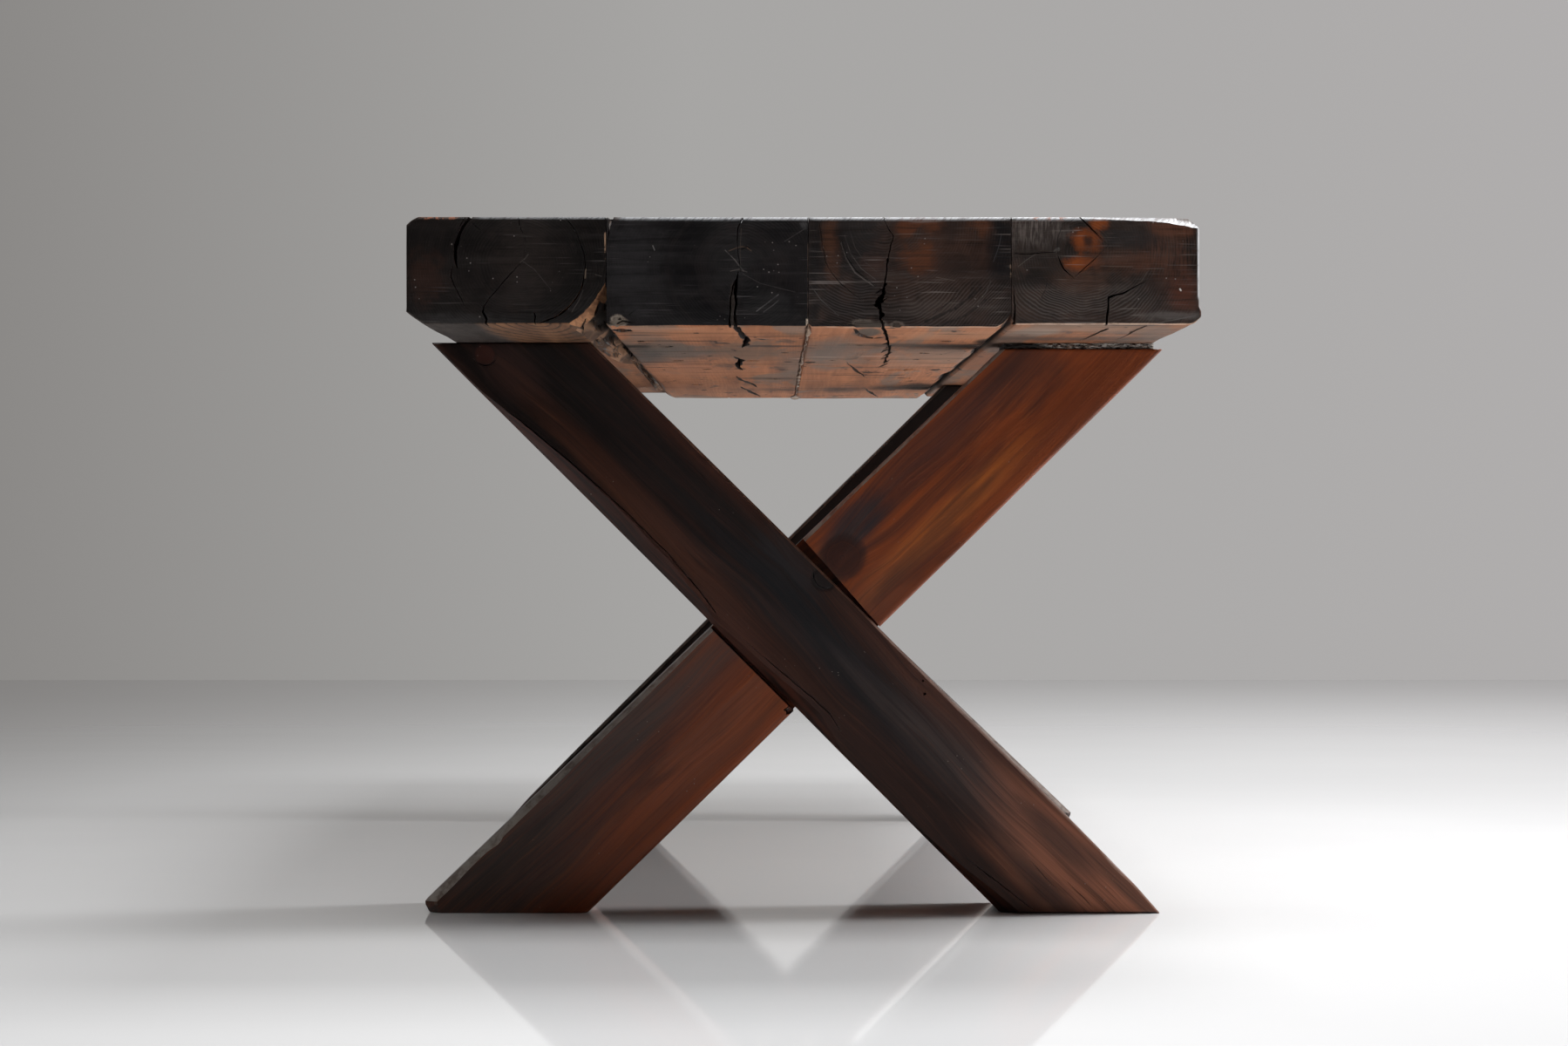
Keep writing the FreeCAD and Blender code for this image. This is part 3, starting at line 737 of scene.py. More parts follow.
def lap_bevel(z):
    wid = np.interp(z, [0.0, 0.03, 0.30, 0.42, 0.63], [0.0150, 0.0135, 0.0075, 0.0055, 0.0048])
    wid = wid * (1 + 0.12 * noise1(z, 72, 0.03, 3)) + bumps(z, [(0.078, 0.008, 0.003)])
    return wid, wid * 0.75, 0.15


def crossing(a, b):
    """Where two leg edges cross; each is ((x, z), (x, z))."""
    ka = (a[1][0] - a[0][0]) / (a[1][1] - a[0][1])
    kb = (b[1][0] - b[0][0]) / (b[1][1] - b[0][1])
    z = (b[0][0] - a[0][0] + ka * a[0][1] - kb * b[0][1]) / (ka - kb)
    return (a[0][0] + ka * (z - a[0][1]), z)


def past(p, q, by=0.05):
    d = math.hypot(q[0] - p[0], q[1] - p[1])
    return (q[0] + (q[0] - p[0]) * by / d, q[1] + (q[1] - p[1]) * by / d)


E_tl = ((THRU_FOOT[0], 0.0), (THRU_TOP[0], UNDER_A))
E_th = ((THRU_FOOT[1], 0.0), (THRU_TOP[1], UNDER_A))
E_ll = ((LAP_FOOT[1], 0.0), (LAP_TOP[1], LAP_Z))
E_lh = ((LAP_FOOT[0], 0.012), (LAP_TOP[0], LAP_Z))
SL = math.hypot(1.0, (E_th[1][0] - E_th[0][0]) / UNDER_A)


def moved(e, by):
    return ((e[0][0] + by * SL, e[0][1]), (e[1][0] + by * SL, e[1][1]))


def leg_face(y):
    return lambda a, b, into: (a, y + into, b)


def L(points):
    return [on_leg(*p) for p in points]


lw = 1.0 / LEG_PX


def make_frame(tag, seed, near):
    thru = leg(tag + "_thru", thru_l, thru_r, OUTER, INNER, UNDER_A,
               [thru_bevel, leg_corner(0.0042, 0.0030, 0.3, 0.35, 1 + seed, [(0.05, 0.02, 0.002)]),
                leg_corner(0.005, 0.004, 0.5, 0.4, 2 + seed), leg_corner(0.005, 0.004, 0.5, 0.4, 3 + seed)], 200 + seed)
    lapped = leg(tag + "_lap", lap_l, lap_r, OUTER + BACK, INNER, LAP_Z,
                 [lap_bevel, leg_corner(0.0040, 0.0035, 0.6, 0.35, 4 + seed, [(0.004, 0.006, 0.004)]),
                  leg_corner(0.005, 0.004, 0.5, 0.4, 5 + seed), leg_corner(0.005, 0.004, 0.5, 0.4, 6 + seed) if near else leg_corner(0.0095, 0.008, 0.5, 0.3, 6 + seed)], 210 + seed)
    # half lap
    up_wide = crossing(moved(E_th, 0.0128), E_lh)
    up_tight = crossing(moved(E_th, 0.0042), E_ll)
    lo_high = crossing(moved(E_tl, -0.004), E_lh)
    lo_low = crossing(moved(E_tl, -0.004), E_ll)
    notch = prism_xz([past(up_tight, up_wide), past(up_wide, up_tight), past(lo_high, lo_low), past(lo_low, lo_high)], OUTER - 0.02, MID)
    c = 0.0003
    w1 = ((E_lh[0][0] - c, E_lh[0][1]), (E_lh[1][0] - c, E_lh[1][1]))
    w2 = ((E_ll[0][0] + c, E_ll[0][1]), (E_ll[1][0] + c, E_ll[1][1]))
    q = [crossing(E_th, w1), crossing(E_th, w2), crossing(E_tl, w2), crossing(E_tl, w1)]
    channel = prism_xz([past(q[3], q[0]), past(q[2], q[1]), past(q[1], q[2]), past(q[0], q[3])], MID, INNER + 0.02)
    mid = (0.00315, 0.31935)
    ct, cl = [channel], [notch]
    for sx in (-1, 1):
        x = mid[0] + sx * 0.034
        cl.append(rod(0.015, (x, INNER - 0.013, mid[1]), (x, INNER + 0.02, mid[1])))
        cl.append(rod(0.005, (x, MID - 0.01, mid[1]), (x, INNER - 0.012, mid[1]), 16))
        ct.append(rod(0.005, (x, MID - 0.042, mid[1]), (x, MID + 0.01, mid[1]), 16))
    for leg_cuts, x, seat, high in ((ct, -0.300, 0.56483, UNDER_A), (cl, 0.309, 0.56073, LAP_Z)):
        for y in (-0.612, -0.572):
            leg_cuts.append(rod(0.017, (x, y, seat), (x, y, seat - 0.09)))
            leg_cuts.append(rod(0.006, (x, y, seat - 0.01), (x, y, high + 0.01), 16))
    f_thru, f_lap = leg_face(OUTER), leg_face(OUTER + BACK)
    if near:
        ct += [
            rod(0.0016, (*on_leg(1061, 796)[:1], OUTER - 0.01, on_leg(1061, 796)[1]), (on_leg(1061, 796)[0], OUTER + 0.01, on_leg(1061, 796)[1]), 12),
            rod(0.0013, (*on_leg(1059, 781)[:1], OUTER - 0.01, on_leg(1059, 781)[1]), (on_leg(1059, 781)[0], OUTER + 0.01, on_leg(1059, 781)[1]), 12),
            crack(L([(933, 655), (934, 664), (938, 671), (945, 675), (950, 675)]), [0.5 * lw, 1.6 * lw, 1.8 * lw, 1.4 * lw, 0.6 * lw], 0.006, f_thru, step=0.003, jitter=0.0004, seed=101),
            crack(L([(543, 411), (548, 417), (556, 419.5), (564, 418), (569, 412)]), [0.4 * lw, 1.4 * lw, 1.6 * lw, 1.4 * lw, 0.4 * lw], 0.005, f_thru, step=0.003, jitter=0.0003, seed=102),
            *[crack(L([(493 + (p - 394) * 672 / 654 + v + 0.4, p) for p, v in run]), [0.3 * lw] + [2.2 * lw] * (len(run) - 2) + [0.3 * lw], 0.006, f_thru, jitter=0.0006, seed=110 + k)
              for k, run in enumerate((
                  [(466, 7), (482, 13), (520, 20), (558, 25), (600, 26), (638, 25), (690, 15), (710, 8)],
                  [(730, 10), (765, 15), (800, 21), (819, 22), (840, 14)],
                  [(985, 9), (1005, 14), (1023, 19), (1044, 24)]))],
            crack(L([(1180, 985), (1196, 1003), (1213, 1020)]), [0.3 * lw, 1.3 * lw, 0.3 * lw], 0.008, f_thru, seed=103),
            crack(L([(1225, 1012), (1240, 1027), (1252, 1040)]), [0.3 * lw, 1.2 * lw, 0.4 * lw], 0.008, f_thru, seed=104),
        ]
        cl += [
            pit(on_leg(906, 815), (0.012, 0.012), 0.010, f_lap, seed=107),
            crack(L([(546, 979), (551, 973), (553, 970)]), [1.0 * lw, 2.6 * lw, 1.0 * lw], 0.004, f_lap, step=0.003, jitter=0.0004, seed=108),
        ]
    cut_away(thru, ct)
    cut_away(lapped, cl)
    if not near:
        for ob in (thru, lapped):
            co = np.empty(len(ob.data.vertices) * 3)
            ob.data.vertices.foreach_get("co", co)
            co = co.reshape(-1, 3) * [-1, -1, 1]
            ob.data.vertices.foreach_set("co", co.ravel())
            ob.data.update()
    return thru, lapped


near_thru, near_lap = make_frame("near_leg", 0, True)
far_thru, far_lap = make_frame("far_leg", 40, False)
legs = [near_thru, near_lap, far_thru, far_lap]

# ------------------------------------------------------------------ filler along the centre joint
ys = np.arange(-END, END + 1e-6, 0.004)
fx = EDGE[2]
bead = np.clip(noise1(ys, 302, 0.055, 3) + 0.02, 0, 1)
hang = 0.0003 + 0.0030 * bead + bumps(ys, [(0.93, 0.04, 0.004), (-0.985, 0.01, 0.002)])
half = 0.0005 + 0.0034 * bead + bumps(ys, [(0.93, 0.05, 0.007), (-0.97, 0.02, 0.0015)])
wob = 0.0022 * noise1(ys, 303, 0.045, 3)
rings = []
for k, yk in enumerate(ys):
    end = 0.4 if k in (0, len(ys) - 1) else 1.0
    a = np.linspace(0, math.pi, 9)
    low = [(fx + wob[k] + half[k] * end * math.cos(v + math.pi), UNDER[2] + 0.0003 - hang[k] * end * math.sin(v)) for v in a]
    rings.append([(x, yk, z) for x, z in low] + [(fx + 0.0003, yk, UNDER[2] + 0.0034), (fx - 0.0003, yk, UNDER[2] + 0.0034)])
filler = loft("filler_bead", np.array(rings))
outward(filler)



def packing(name, seed, far):
    """A torn strip of packing: uneven in front and along its edges."""
    x0, x1, y0, y1, z0, z1 = 0.237, 0.405, -0.6425, -0.540, 0.6336, 0.6399
    xs = np.arange(x0, x1 + 1e-6, 0.0016)
    m = 15
    rings_ = []
    for k, xk in enumerate(xs):
        grow = min(1.0, 0.35 + 0.65 * min(k, len(xs) - 1 - k) / 3.0)
        s = np.linspace(0, 1, m)
        zf = z0 + (z1 - z0) * s
        yf = y0 + 0.004 + 0.0040 * noise2(np.full(m, xk), zf, seed, 0.005, 0.0018, 3) - 0.0015 * np.sin(s * math.pi) + 0.006 * (1 - s) * max(0.0, float(noise1(xk, seed + 4, 0.011, 2)))
        yb = y1 - 0.003 + 0.002 * noise2(np.full(m, xk), zf, seed + 1, 0.006, 0.003, 2)
        mid = (y0 + y1) / 2
        front = [(xk, mid + (a - mid) * (0.9 + 0.1 * grow), z) for a, z in zip(yf, zf)]
        back = [(xk, mid + (a - mid) * (0.9 + 0.1 * grow), z) for a, z in zip(yb[::-1], zf[::-1])]
        rings_.append(front + back)
    ob = loft(name, np.array(rings_) * ([-1, -1, 1] if far else [1, 1, 1]))
    outward(ob)
    return ob


near_pack, far_pack = packing("near_packing", 401, False), packing("far_packing", 411, True)
pieces = beams + legs + [filler, near_pack, far_pack]
for ob in pieces:
    smooth(ob)


# ------------------------------------------------------------------ materials
class Net:
    """Short names for building a node tree."""

    def __init__(self, name):
        self.mat = bpy.data.materials.new(name)
        self.mat.use_nodes = True
        self.nodes, self.links = self.mat.node_tree.nodes, self.mat.node_tree.links
        self.nodes.clear()
        self.out = self.nodes.new("ShaderNodeOutputMaterial")
        self.bsdf = self.nodes.new("ShaderNodeBsdfPrincipled")
        self.links.new(self.bsdf.outputs[0], self.out.inputs[0])

    def put(self, socket, value):
        if isinstance(value, bpy.types.NodeSocket):
            self.links.new(value, socket)
        elif value is not None:
            if hasattr(socket, "default_value"):
                if hasattr(socket.default_value, "__len__") and not hasattr(value, "__len__"):
                    socket.default_value = [value] * len(socket.default_value)
                elif hasattr(value, "__len__") and len(socket.default_value) == 4 and len(value) == 3:
                    socket.default_value = (*value, 1.0)
                else:
                    socket.default_value = value

    def coords(self):
        return self.nodes.new("ShaderNodeTexCoord").outputs["Object"]

    def normal(self):
        return self.nodes.new("ShaderNodeNewGeometry").outputs["True Normal"]

    def math(self, op, a, b=None, c=None, clamp=False):
        n = self.nodes.new("ShaderNodeMath")
        n.operation = op
        n.use_clamp = clamp
        self.put(n.inputs[0], a)
        if b is not None:
            self.put(n.inputs[1], b)
        if c is not None:
            self.put(n.inputs[2], c)
        return n.outputs[0]

    def vec(self, op, a, b=None):
        n = self.nodes.new("ShaderNodeVectorMath")
        n.operation = op
        self.put(n.inputs[0], a)
        if b is not None:
            self.put(n.inputs[1], b)
        return n.outputs["Value"] if op in ("LENGTH", "DISTANCE", "DOT_PRODUCT") else n.outputs[0]

    def sep(self, v):
        n = self.nodes.new("ShaderNodeSeparateXYZ")
        self.put(n.inputs[0], v)
        return n.outputs[0], n.outputs[1], n.outputs[2]

    def xyz(self, x, y, z):
        n = self.nodes.new("ShaderNodeCombineXYZ")
        for s, v in zip(n.inputs, (x, y, z)):
            self.put(s, v)
        return n.outputs[0]

    def turned(self, v, angle):
        n = self.nodes.new("ShaderNodeMapping")
        n.inputs["Rotation"].default_value = (0, angle, 0)
        self.put(n.inputs["Vector"], v)
        return n.outputs[0]

    def noise(self, v, scale=1.0, detail=3.0, rough=0.55, distort=0.0):
        n = self.nodes.new("ShaderNodeTexNoise")
        self.put(n.inputs["Vector"], v)
        n.inputs["Scale"].default_value = scale
        n.inputs["Detail"].default_value = detail
        n.inputs["Roughness"].default_value = rough
        n.inputs["Distortion"].default_value = distort
        return n.outputs[0]

    def voronoi(self, v, scale=1.0, feature="F1", rand=1.0):
        n = self.nodes.new("ShaderNodeTexVoronoi")
        n.feature = feature
        self.put(n.inputs["Vector"], v)
        n.inputs["Scale"].default_value = scale
        n.inputs["Randomness"].default_value = rand
        return n.outputs["Distance"]

    def ramp(self, f, stops, ease="LINEAR"):
        n = self.nodes.new("ShaderNodeValToRGB")
        n.color_ramp.interpolation = ease
        el = n.color_ramp.elements
        while len(el) < len(stops):
            el.new(0.5)
        for e, (p, c) in zip(el, stops):
            e.position = p
            e.color = (*c, 1.0) if hasattr(c, "__len__") else (c, c, c, 1.0)
        self.put(n.inputs[0], f)
        return n.outputs[0]

    def span(self, f, lo, hi, a=0.0, b=1.0, smooth=True):
        n = self.nodes.new("ShaderNodeMapRange")
        n.interpolation_type = "SMOOTHSTEP" if smooth else "LINEAR"
        self.put(n.inputs["Value"], f)
        n.inputs["From Min"].default_value = lo
        n.inputs["From Max"].default_value = hi
        n.inputs["To Min"].default_value = a
        n.inputs["To Max"].default_value = b
        return n.outputs[0]

    def mix(self, f, a, b, blend="MIX"):
        n = self.nodes.new("ShaderNodeMix")
        n.data_type = "RGBA"
        n.blend_type = blend
        n.clamp_result = False
        self.put(n.inputs["Factor"], f)
        self.put(n.inputs["A"] if False else n.inputs[6], a if isinstance(a, bpy.types.NodeSocket) else (*a, 1.0))
        self.put(n.inputs[7], b if isinstance(b, bpy.types.NodeSocket) else (*b, 1.0))
        return n.outputs[2]

    def bump(self, height, strength, distance, normal=None):
        n = self.nodes.new("ShaderNodeBump")
        n.inputs["Strength"].default_value = strength
        n.inputs["Distance"].default_value = distance
        self.put(n.inputs["Height"], height)
        if normal is not None:
            self.put(n.inputs["Normal"], normal)
        return n.outputs[0]

    def spot(self, p, at, size, edge=0.45, warp=None, amount=0.35):
        """A soft blotch, 1 inside: an ellipsoid about a point, with a ragged edge."""
        d = self.vec("SUBTRACT", p, at)
        d = self.vec("DIVIDE", d, size)
        r = self.vec("LENGTH", d)
        if warp is not None:
            r = self.math("ADD", r, self.math("MULTIPLY", self.math("SUBTRACT", warp, 0.5), amount * 2))
        return self.span(r, 1.0 - edge, 1.0 + edge, 1.0, 0.0)

    def stroke(self, flat, a, b, half):
        """A thin straight mark between two points of a plane, 1 on its line."""
        d = (b[0] - a[0], b[1] - a[1])
        l2 = d[0] ** 2 + d[1] ** 2
        rel = self.vec("SUBTRACT", flat, (a[0], a[1], 0.0))
        t = self.vec("DOT_PRODUCT", rel, (d[0] / l2, d[1] / l2, 0.0))
        t = self.math("MULTIPLY", t, 1.0, clamp=True)
        foot = self.xyz(self.math("MULTIPLY", t, d[0]), self.math("MULTIPLY", t, d[1]), 0.0)
        return self.span(self.vec("DISTANCE", rel, foot), half, half * 0.4)


def top_timber(name, index, pith, tint, seed, blotches, marks=(), strokes=(), rings=(0.2, (0.06, 0.05, 0.045)), scratch=(0.4, (0.06, 0.055, 0.052)),
               seams=(), worn=(), near_arris_highlight=((-0.4, 0.4), 0.3, 0.3), wane=False, bare_tone=1.0):
    """A timber of the top: dark stained ends, sides and upper face, bare sawn wood below."""
    n = Net(name)
    p = n.coords()
    x, y, z = n.sep(p)
    nx_, ny_, nz_ = n.sep(n.normal())
    off = 3.7 * index + 1.0
    g = n.xyz(n.math("ADD", n.math("MULTIPLY", y, 0.06), off), n.math("ADD", x, off), z)
    warp = n.noise(g, 11.0, 2.0, 0.5)
    warp2 = n.noise(n.xyz(n.math("MULTIPLY", y, 1.3), n.math("MULTIPLY", x, 14), n.math("MULTIPLY", z, 14)), 1.0, 2.0)
    grit = n.noise(p, 70.0, 4.0, 0.65)
    # growth rings round the heart of the timber
    dx = n.math("SUBTRACT", x, n.math("ADD", pith[0], n.math("MULTIPLY", n.math("SUBTRACT", warp2, 0.5), 0.014)))
    dz = n.math("SUBTRACT", z, n.math("ADD", pith[1], n.math("MULTIPLY", n.math("SUBTRACT", warp, 0.5), 0.026)))
    r = n.math("SQRT", n.math("ADD", n.math("MULTIPLY", dx, dx), n.math("MULTIPLY", n.math("MULTIPLY", dz, dz), 1.1)))
    r = n.math("ADD", r, n.math("MULTIPLY", n.math("SUBTRACT", warp, 0.5), 0.012))
    r = n.math("ADD", r, n.math("MULTIPLY", n.math("SUBTRACT", grit, 0.5), 0.0022))
    turns = n.math("FRACT", n.math("MULTIPLY", r, 360.0))
    ring = n.span(turns, 0.0, 0.9)
    ring_line = n.span(n.math("ABSOLUTE", n.math("SUBTRACT", turns, 0.5)), 0.34, 0.10)
    wide = n.noise(n.xyz(n.math("MULTIPLY", r, 75.0), off, 0.0), 1.0, 2.0, 0.6)
    fine = n.noise(n.xyz(n.math("MULTIPLY", y, 9.0), n.math("MULTIPLY", x, 420.0), n.math("MULTIPLY", z, 420.0)), 1.0, 3.0, 0.6)
    streak = n.noise(n.xyz(n.math("MULTIPLY", y, 1.6), n.math("MULTIPLY", x, 46.0), n.math("MULTIPLY", z, 46.0)), 1.0, 4.0, 0.6)
    cloud = n.noise(n.xyz(n.math("ADD", n.math("MULTIPLY", y, 1.1), seed), n.math("MULTIPLY", x, 11.0), n.math("MULTIPLY", z, 13.0)), 1.0, 4.0, 0.6, 0.5)
    at_end = n.span(n.math("ABSOLUTE", ny_), 0.55, 0.85)

    # stained faces: long grain
    dark, mid, warm = tint
    st = (0.90, 0.80, 1.0, 1.18)[index]
    stain = n.mix(n.span(streak, 0.35, 0.70), (0.020 * st, 0.014 * st, 0.0125 * st), (0.042 * st, 0.025 * st, 0.020 * st))
    stain = n.mix(n.math("MULTIPLY", n.span(cloud, 0.50, 0.68), 0.8), stain, (0.075 * st, 0.034 * st, 0.023 * st))
    stain = n.mix(n.math("MULTIPLY", ring, 0.35), stain, (0.010, 0.008, 0.0075))
    stain = n.mix(n.math("MULTIPLY", n.span(fine, 0.48, 0.75), 0.35), stain, (0.090, 0.050, 0.036))
    stain = n.mix(n.math("MULTIPLY", n.span(fine, 0.46, 0.28), 0.5), stain, (0.006, 0.005, 0.005))
    # ends: sawn across, so fine level scratches lie over the rings
    level = n.noise(n.xyz(n.math("MULTIPLY", x, 11.0), off, n.math("MULTIPLY", z, 330.0)), 1.0, 4.0, 0.74)
    hairs = n.noise(n.xyz(n.math("MULTIPLY", x, 13.0), off + 4.0, n.math("MULTIPLY", z, 560.0)), 1.0, 1.0, 0.5)
    upright = n.noise(n.xyz(n.math("MULTIPLY", x, 480.0), off, n.math("MULTIPLY", z, 55.0)), 1.0, 2.0, 0.6, 0.2)
    band = n.noise(n.xyz(n.math("MULTIPLY", x, 5.0), off + 2.0, n.math("MULTIPLY", z, 55.0)), 1.0, 3.0, 0.6)
    blot = n.noise(n.xyz(n.math("MULTIPLY", x, 30.0), off + 6.0, n.math("MULTIPLY", z, 34.0)), 1.0, 4.0, 0.65, 0.6)
    end = n.mix(n.span(cloud, 0.40, 0.66), dark, mid)
    end = n.mix(n.math("MULTIPLY", n.span(wide, 0.48, 0.72), 0.45), end, warm)
    end = n.mix(n.math("MULTIPLY", n.span(blot, 0.54, 0.70), 0.55), end, warm)
    end = n.mix(n.math("MULTIPLY", n.span(blot, 0.46, 0.32), 0.65), end, dark)
    ring_mask = n.math("MULTIPLY", ring_line, n.math("MULTIPLY", n.span(grit, 0.36, 0.62, 0.2, 1.0), n.span(blot, 0.40, 0.58, 0.1, 1.0)))
    end = n.mix(n.math("MULTIPLY", ring_mask, rings[0]), end, rings[1])
    end = n.mix(n.math("MULTIPLY", n.span(band, 0.48, 0.74), 0.45), end, n.mix(0.5, mid, scratch[1]))
    colour = n.mix(at_end, stain, end)
    for at, size, tone, amount, kind in blotches:
        m = n.spot(p, at, size, 0.25 if kind == "plain" else 0.6, warp=grit, amount=0.8 if kind == "plain" else 1.2)
        if kind == "level":
            m = n.math("MULTIPLY", m, n.span(level, 0.28, 0.60, 0.35, 1.0))
        elif kind == "upright":
            m = n.math("MULTIPLY", m, n.span(upright, 0.40, 0.62, 0.15, 1.0))
        elif kind == "ring":
            m = n.math("MULTIPLY", m, n.span(ring_line, 0.1, 0.9, 0.12, 1.0))
        colour = n.mix(n.math("MULTIPLY", m, amount), colour, tone)
    # level scratches over everything on the ends
    m = n.math("MULTIPLY", n.math("MULTIPLY", n.span(level, 0.55, 0.78), scratch[0]), at_end)
    colour = n.mix(m, colour, scratch[1])
    m = n.math("MULTIPLY", n.math("MULTIPLY", n.span(level, 0.45, 0.26), 0.65), at_end)
    colour = n.mix(m, colour, n.mix(0.75, colour, (0.002, 0.002, 0.002)))
    m = n.math("MULTIPLY", n.span(hairs, 0.655, 0.70), n.span(n.noise(p, 15.0, 2.0), 0.44, 0.62))
    pale = tuple(1.9 * v + 0.012 for v in scratch[1])
    colour = n.mix(n.math("MULTIPLY", n.math("MULTIPLY", m, at_end), 0.62), colour, pale)
    flat = n.xyz(x, z, 0.0)
    for a, b, half, tone, amount in strokes:
        m = n.math("MULTIPLY", n.stroke(flat, a, b, half), n.span(grit, 0.36, 0.54, 0.25, 1.0))
        colour = n.mix(n.math("MULTIPLY", n.math("MULTIPLY", m, at_end), n.math("MULTIPLY", n.span(y, -0.96, -0.98), amount)), colour, tone)
    specks = n.math("MULTIPLY", n.span(n.voronoi(p, 150.0), 0.14, 0.06), n.span(n.noise(p, 23.0, 1.0), 0.58, 0.62))
    colour = n.mix(n.math("MULTIPLY", specks, 0.7), colour, (0.26, 0.23, 0.215))
    for sx, wid, z0, z1, tone, amount in seams:
        m = n.span(n.math("ABSOLUTE", n.math("SUBTRACT", x, sx)), wid, wid * 0.5)
        m = n.math("MULTIPLY", m, n.math("MULTIPLY", n.span(z, z0 - 0.002, z0), n.span(z, z1 + 0.002, z1)))
        m = n.math("MULTIPLY", m, n.math("MULTIPLY", n.span(grit, 0.44, 0.58), amount))
        colour = n.mix(n.math("MULTIPLY", m, at_end), colour, tone)
    # upper arrises: rubbed lighter along the sides (wear and painted highlight), with a painted silvery highlight on
    # the arris at the near end
    (x0, x1), l0, l1 = near_arris_highlight
    upper = n.math("MULTIPLY", n.math("MULTIPLY", n.span(nz_, 0.10, 0.34), n.span(nz_, 0.992, 0.955)), n.span(z, TOP - 0.020, TOP - 0.016))
    rub_and_sheen = n.math("MULTIPLY", n.math("MULTIPLY", upper, n.span(streak, 0.40, 0.62)), n.span(grit, 0.35, 0.60, 0.2, 1.0))
    colour = n.mix(n.math("MULTIPLY", rub_and_sheen, 0.65), colour, (0.100, 0.064, 0.047))
    # dirt in the joints along the upper face
    for e in ([EDGE[index]] if index > 0 else []) + ([EDGE[index + 1]] if index < 3 else []):
        m = n.math("MULTIPLY", n.span(n.math("ABSOLUTE", n.math("SUBTRACT", x, e)), 0.0030, 0.0014), n.span(nz_, 0.10, 0.40))
        colour = n.mix(n.math("MULTIPLY", m, 0.85), colour, (0.0065, 0.0052, 0.0048))
    near = n.math("MAXIMUM", n.span(y, -0.982, -0.991), n.math("MULTIPLY", n.span(y, 0.990, 0.997), 0.20))
    diag = n.noise(n.xyz(n.math("MULTIPLY", n.math("ADD", x, z), 45.0), n.math("MULTIPLY", n.math("SUBTRACT", x, z), 360.0), n.math("MULTIPLY", y, 60.0)), 1.0, 3.0, 0.65)
    edge = n.math("MULTIPLY", n.math("MULTIPLY", upper, near), n.span(x, x0 - 0.006, x0 + 0.010))
    edge = n.math("MULTIPLY", edge, n.span(grit, 0.28, 0.52, 0.55, 1.0))
    edge = n.math("MULTIPLY", edge, n.span(diag, 0.34, 0.56, 0.42, 1.0))
    lo_tone, hi_tone = (0.97 * l0, 0.99 * l0, 1.03 * l0), (0.97 * l1, 0.99 * l1, 1.03 * l1)
    colour = n.mix(edge, colour, n.mix(n.span(x, x0, x1, smooth=False), lo_tone, hi_tone))
    for x0, x1 in worn:
        m = n.math("MULTIPLY", n.span(x, x0 - 0.004, x0 + 0.004), n.span(x, x1 + 0.004, x1 - 0.004))
        m = n.math("MULTIPLY", m, n.math("MULTIPLY", n.span(n.noise(p, 150.0, 3.0, 0.7), 0.49, 0.56), n.span(ny_, -0.999, -0.96)))
        m = n.math("MULTIPLY", m, n.math("MULTIPLY", n.span(z, TOP - 0.0055, TOP - 0.0035), n.span(y, -0.991, -0.9955)))
        colour = n.mix(n.math("MULTIPLY", m, 0.9), colour, (0.25, 0.085, 0.042))
    if index == 3:
        # painted highlight: a near-white rim on the right upright arris by the near end
        rim = n.math("MULTIPLY", n.span(nx_, 0.15, 0.40), n.span(ny_, -0.05, -0.25))
        rim = n.math("MULTIPLY", rim, n.math("MULTIPLY", n.span(z, 0.664, 0.672), n.span(y, -0.975, -0.988)))
        colour = n.mix(n.math("MULTIPLY", rim, n.span(grit, 0.30, 0.55, 0.55, 1.0)), colour, (0.62, 0.62, 0.63))
        sliver = n.math("MULTIPLY", n.span(x, EDGE[4] - 0.0004, EDGE[4] + 0.0006), n.span(z, 0.664, 0.661))
        colour = n.mix(n.math("MULTIPLY", sliver, 0.9), colour, n.mix(n.span(fine, 0.4, 0.6), (0.11, 0.042, 0.024), (0.035, 0.018, 0.013)))

    # bare wood below
    tear = n.noise(n.xyz(n.math("MULTIPLY", y, 75.0), n.math("MULTIPLY", x, 8.0), off), 1.0, 3.0, 0.6)
    saw = n.noise(n.xyz(n.math("MULTIPLY", y, 26.0), n.math("MULTIPLY", x, 3.0), off + 5.0), 1.0, 2.0, 0.6)
    patch = n.noise(n.xyz(n.math("MULTIPLY", y, 2.1), n.math("MULTIPLY", x, 10.0), off + seed), 1.0, 4.0, 0.6, 0.8)
    dirt = n.noise(n.xyz(n.math("MULTIPLY", y, 5.0), n.math("MULTIPLY", x, 26.0), off + seed + 7.0), 1.0, 4.0, 0.65, 0.5)
    bt = bare_tone
    bare = n.mix(n.span(streak, 0.30, 0.72), (0.46 * bt, 0.192 * bt, 0.094 * bt), (0.290 * bt, 0.122 * bt, 0.063 * bt))
    bare = n.mix(n.math("MULTIPLY", ring, 0.30), bare, (0.24 * bt, 0.10 * bt, 0.052 * bt))
    bare = n.mix(n.math("MULTIPLY", n.span(patch, 0.51, 0.60), 0.75), bare, (0.190 * bt, 0.142 * bt, 0.112 * bt))
    bare = n.mix(n.math("MULTIPLY", n.span(dirt, 0.57, 0.70), 0.70), bare, (0.080, 0.062, 0.054))
    for at, size, tone, amount, hard in marks:
        m = n.spot(p, at, size, 0.25 if hard else 0.7, warp=dirt, amount=0.5 if hard else 1.0)
        bare = n.mix(n.math("MULTIPLY", m, amount), bare, tone)
    bare = n.mix(n.math("MULTIPLY", n.span(tear, 0.55, 0.80), 0.35), bare, n.mix(0.4, bare, (0.66, 0.42, 0.30)))
    bare = n.mix(n.math("MULTIPLY", n.span(tear, 0.44, 0.24), 0.60), bare, n.mix(0.65, bare, (0.030, 0.019, 0.014)))
    bare = n.mix(n.math("MULTIPLY", n.span(saw, 0.46, 0.26), 0.65), bare, n.mix(0.6, bare, (0.035, 0.021, 0.015)))
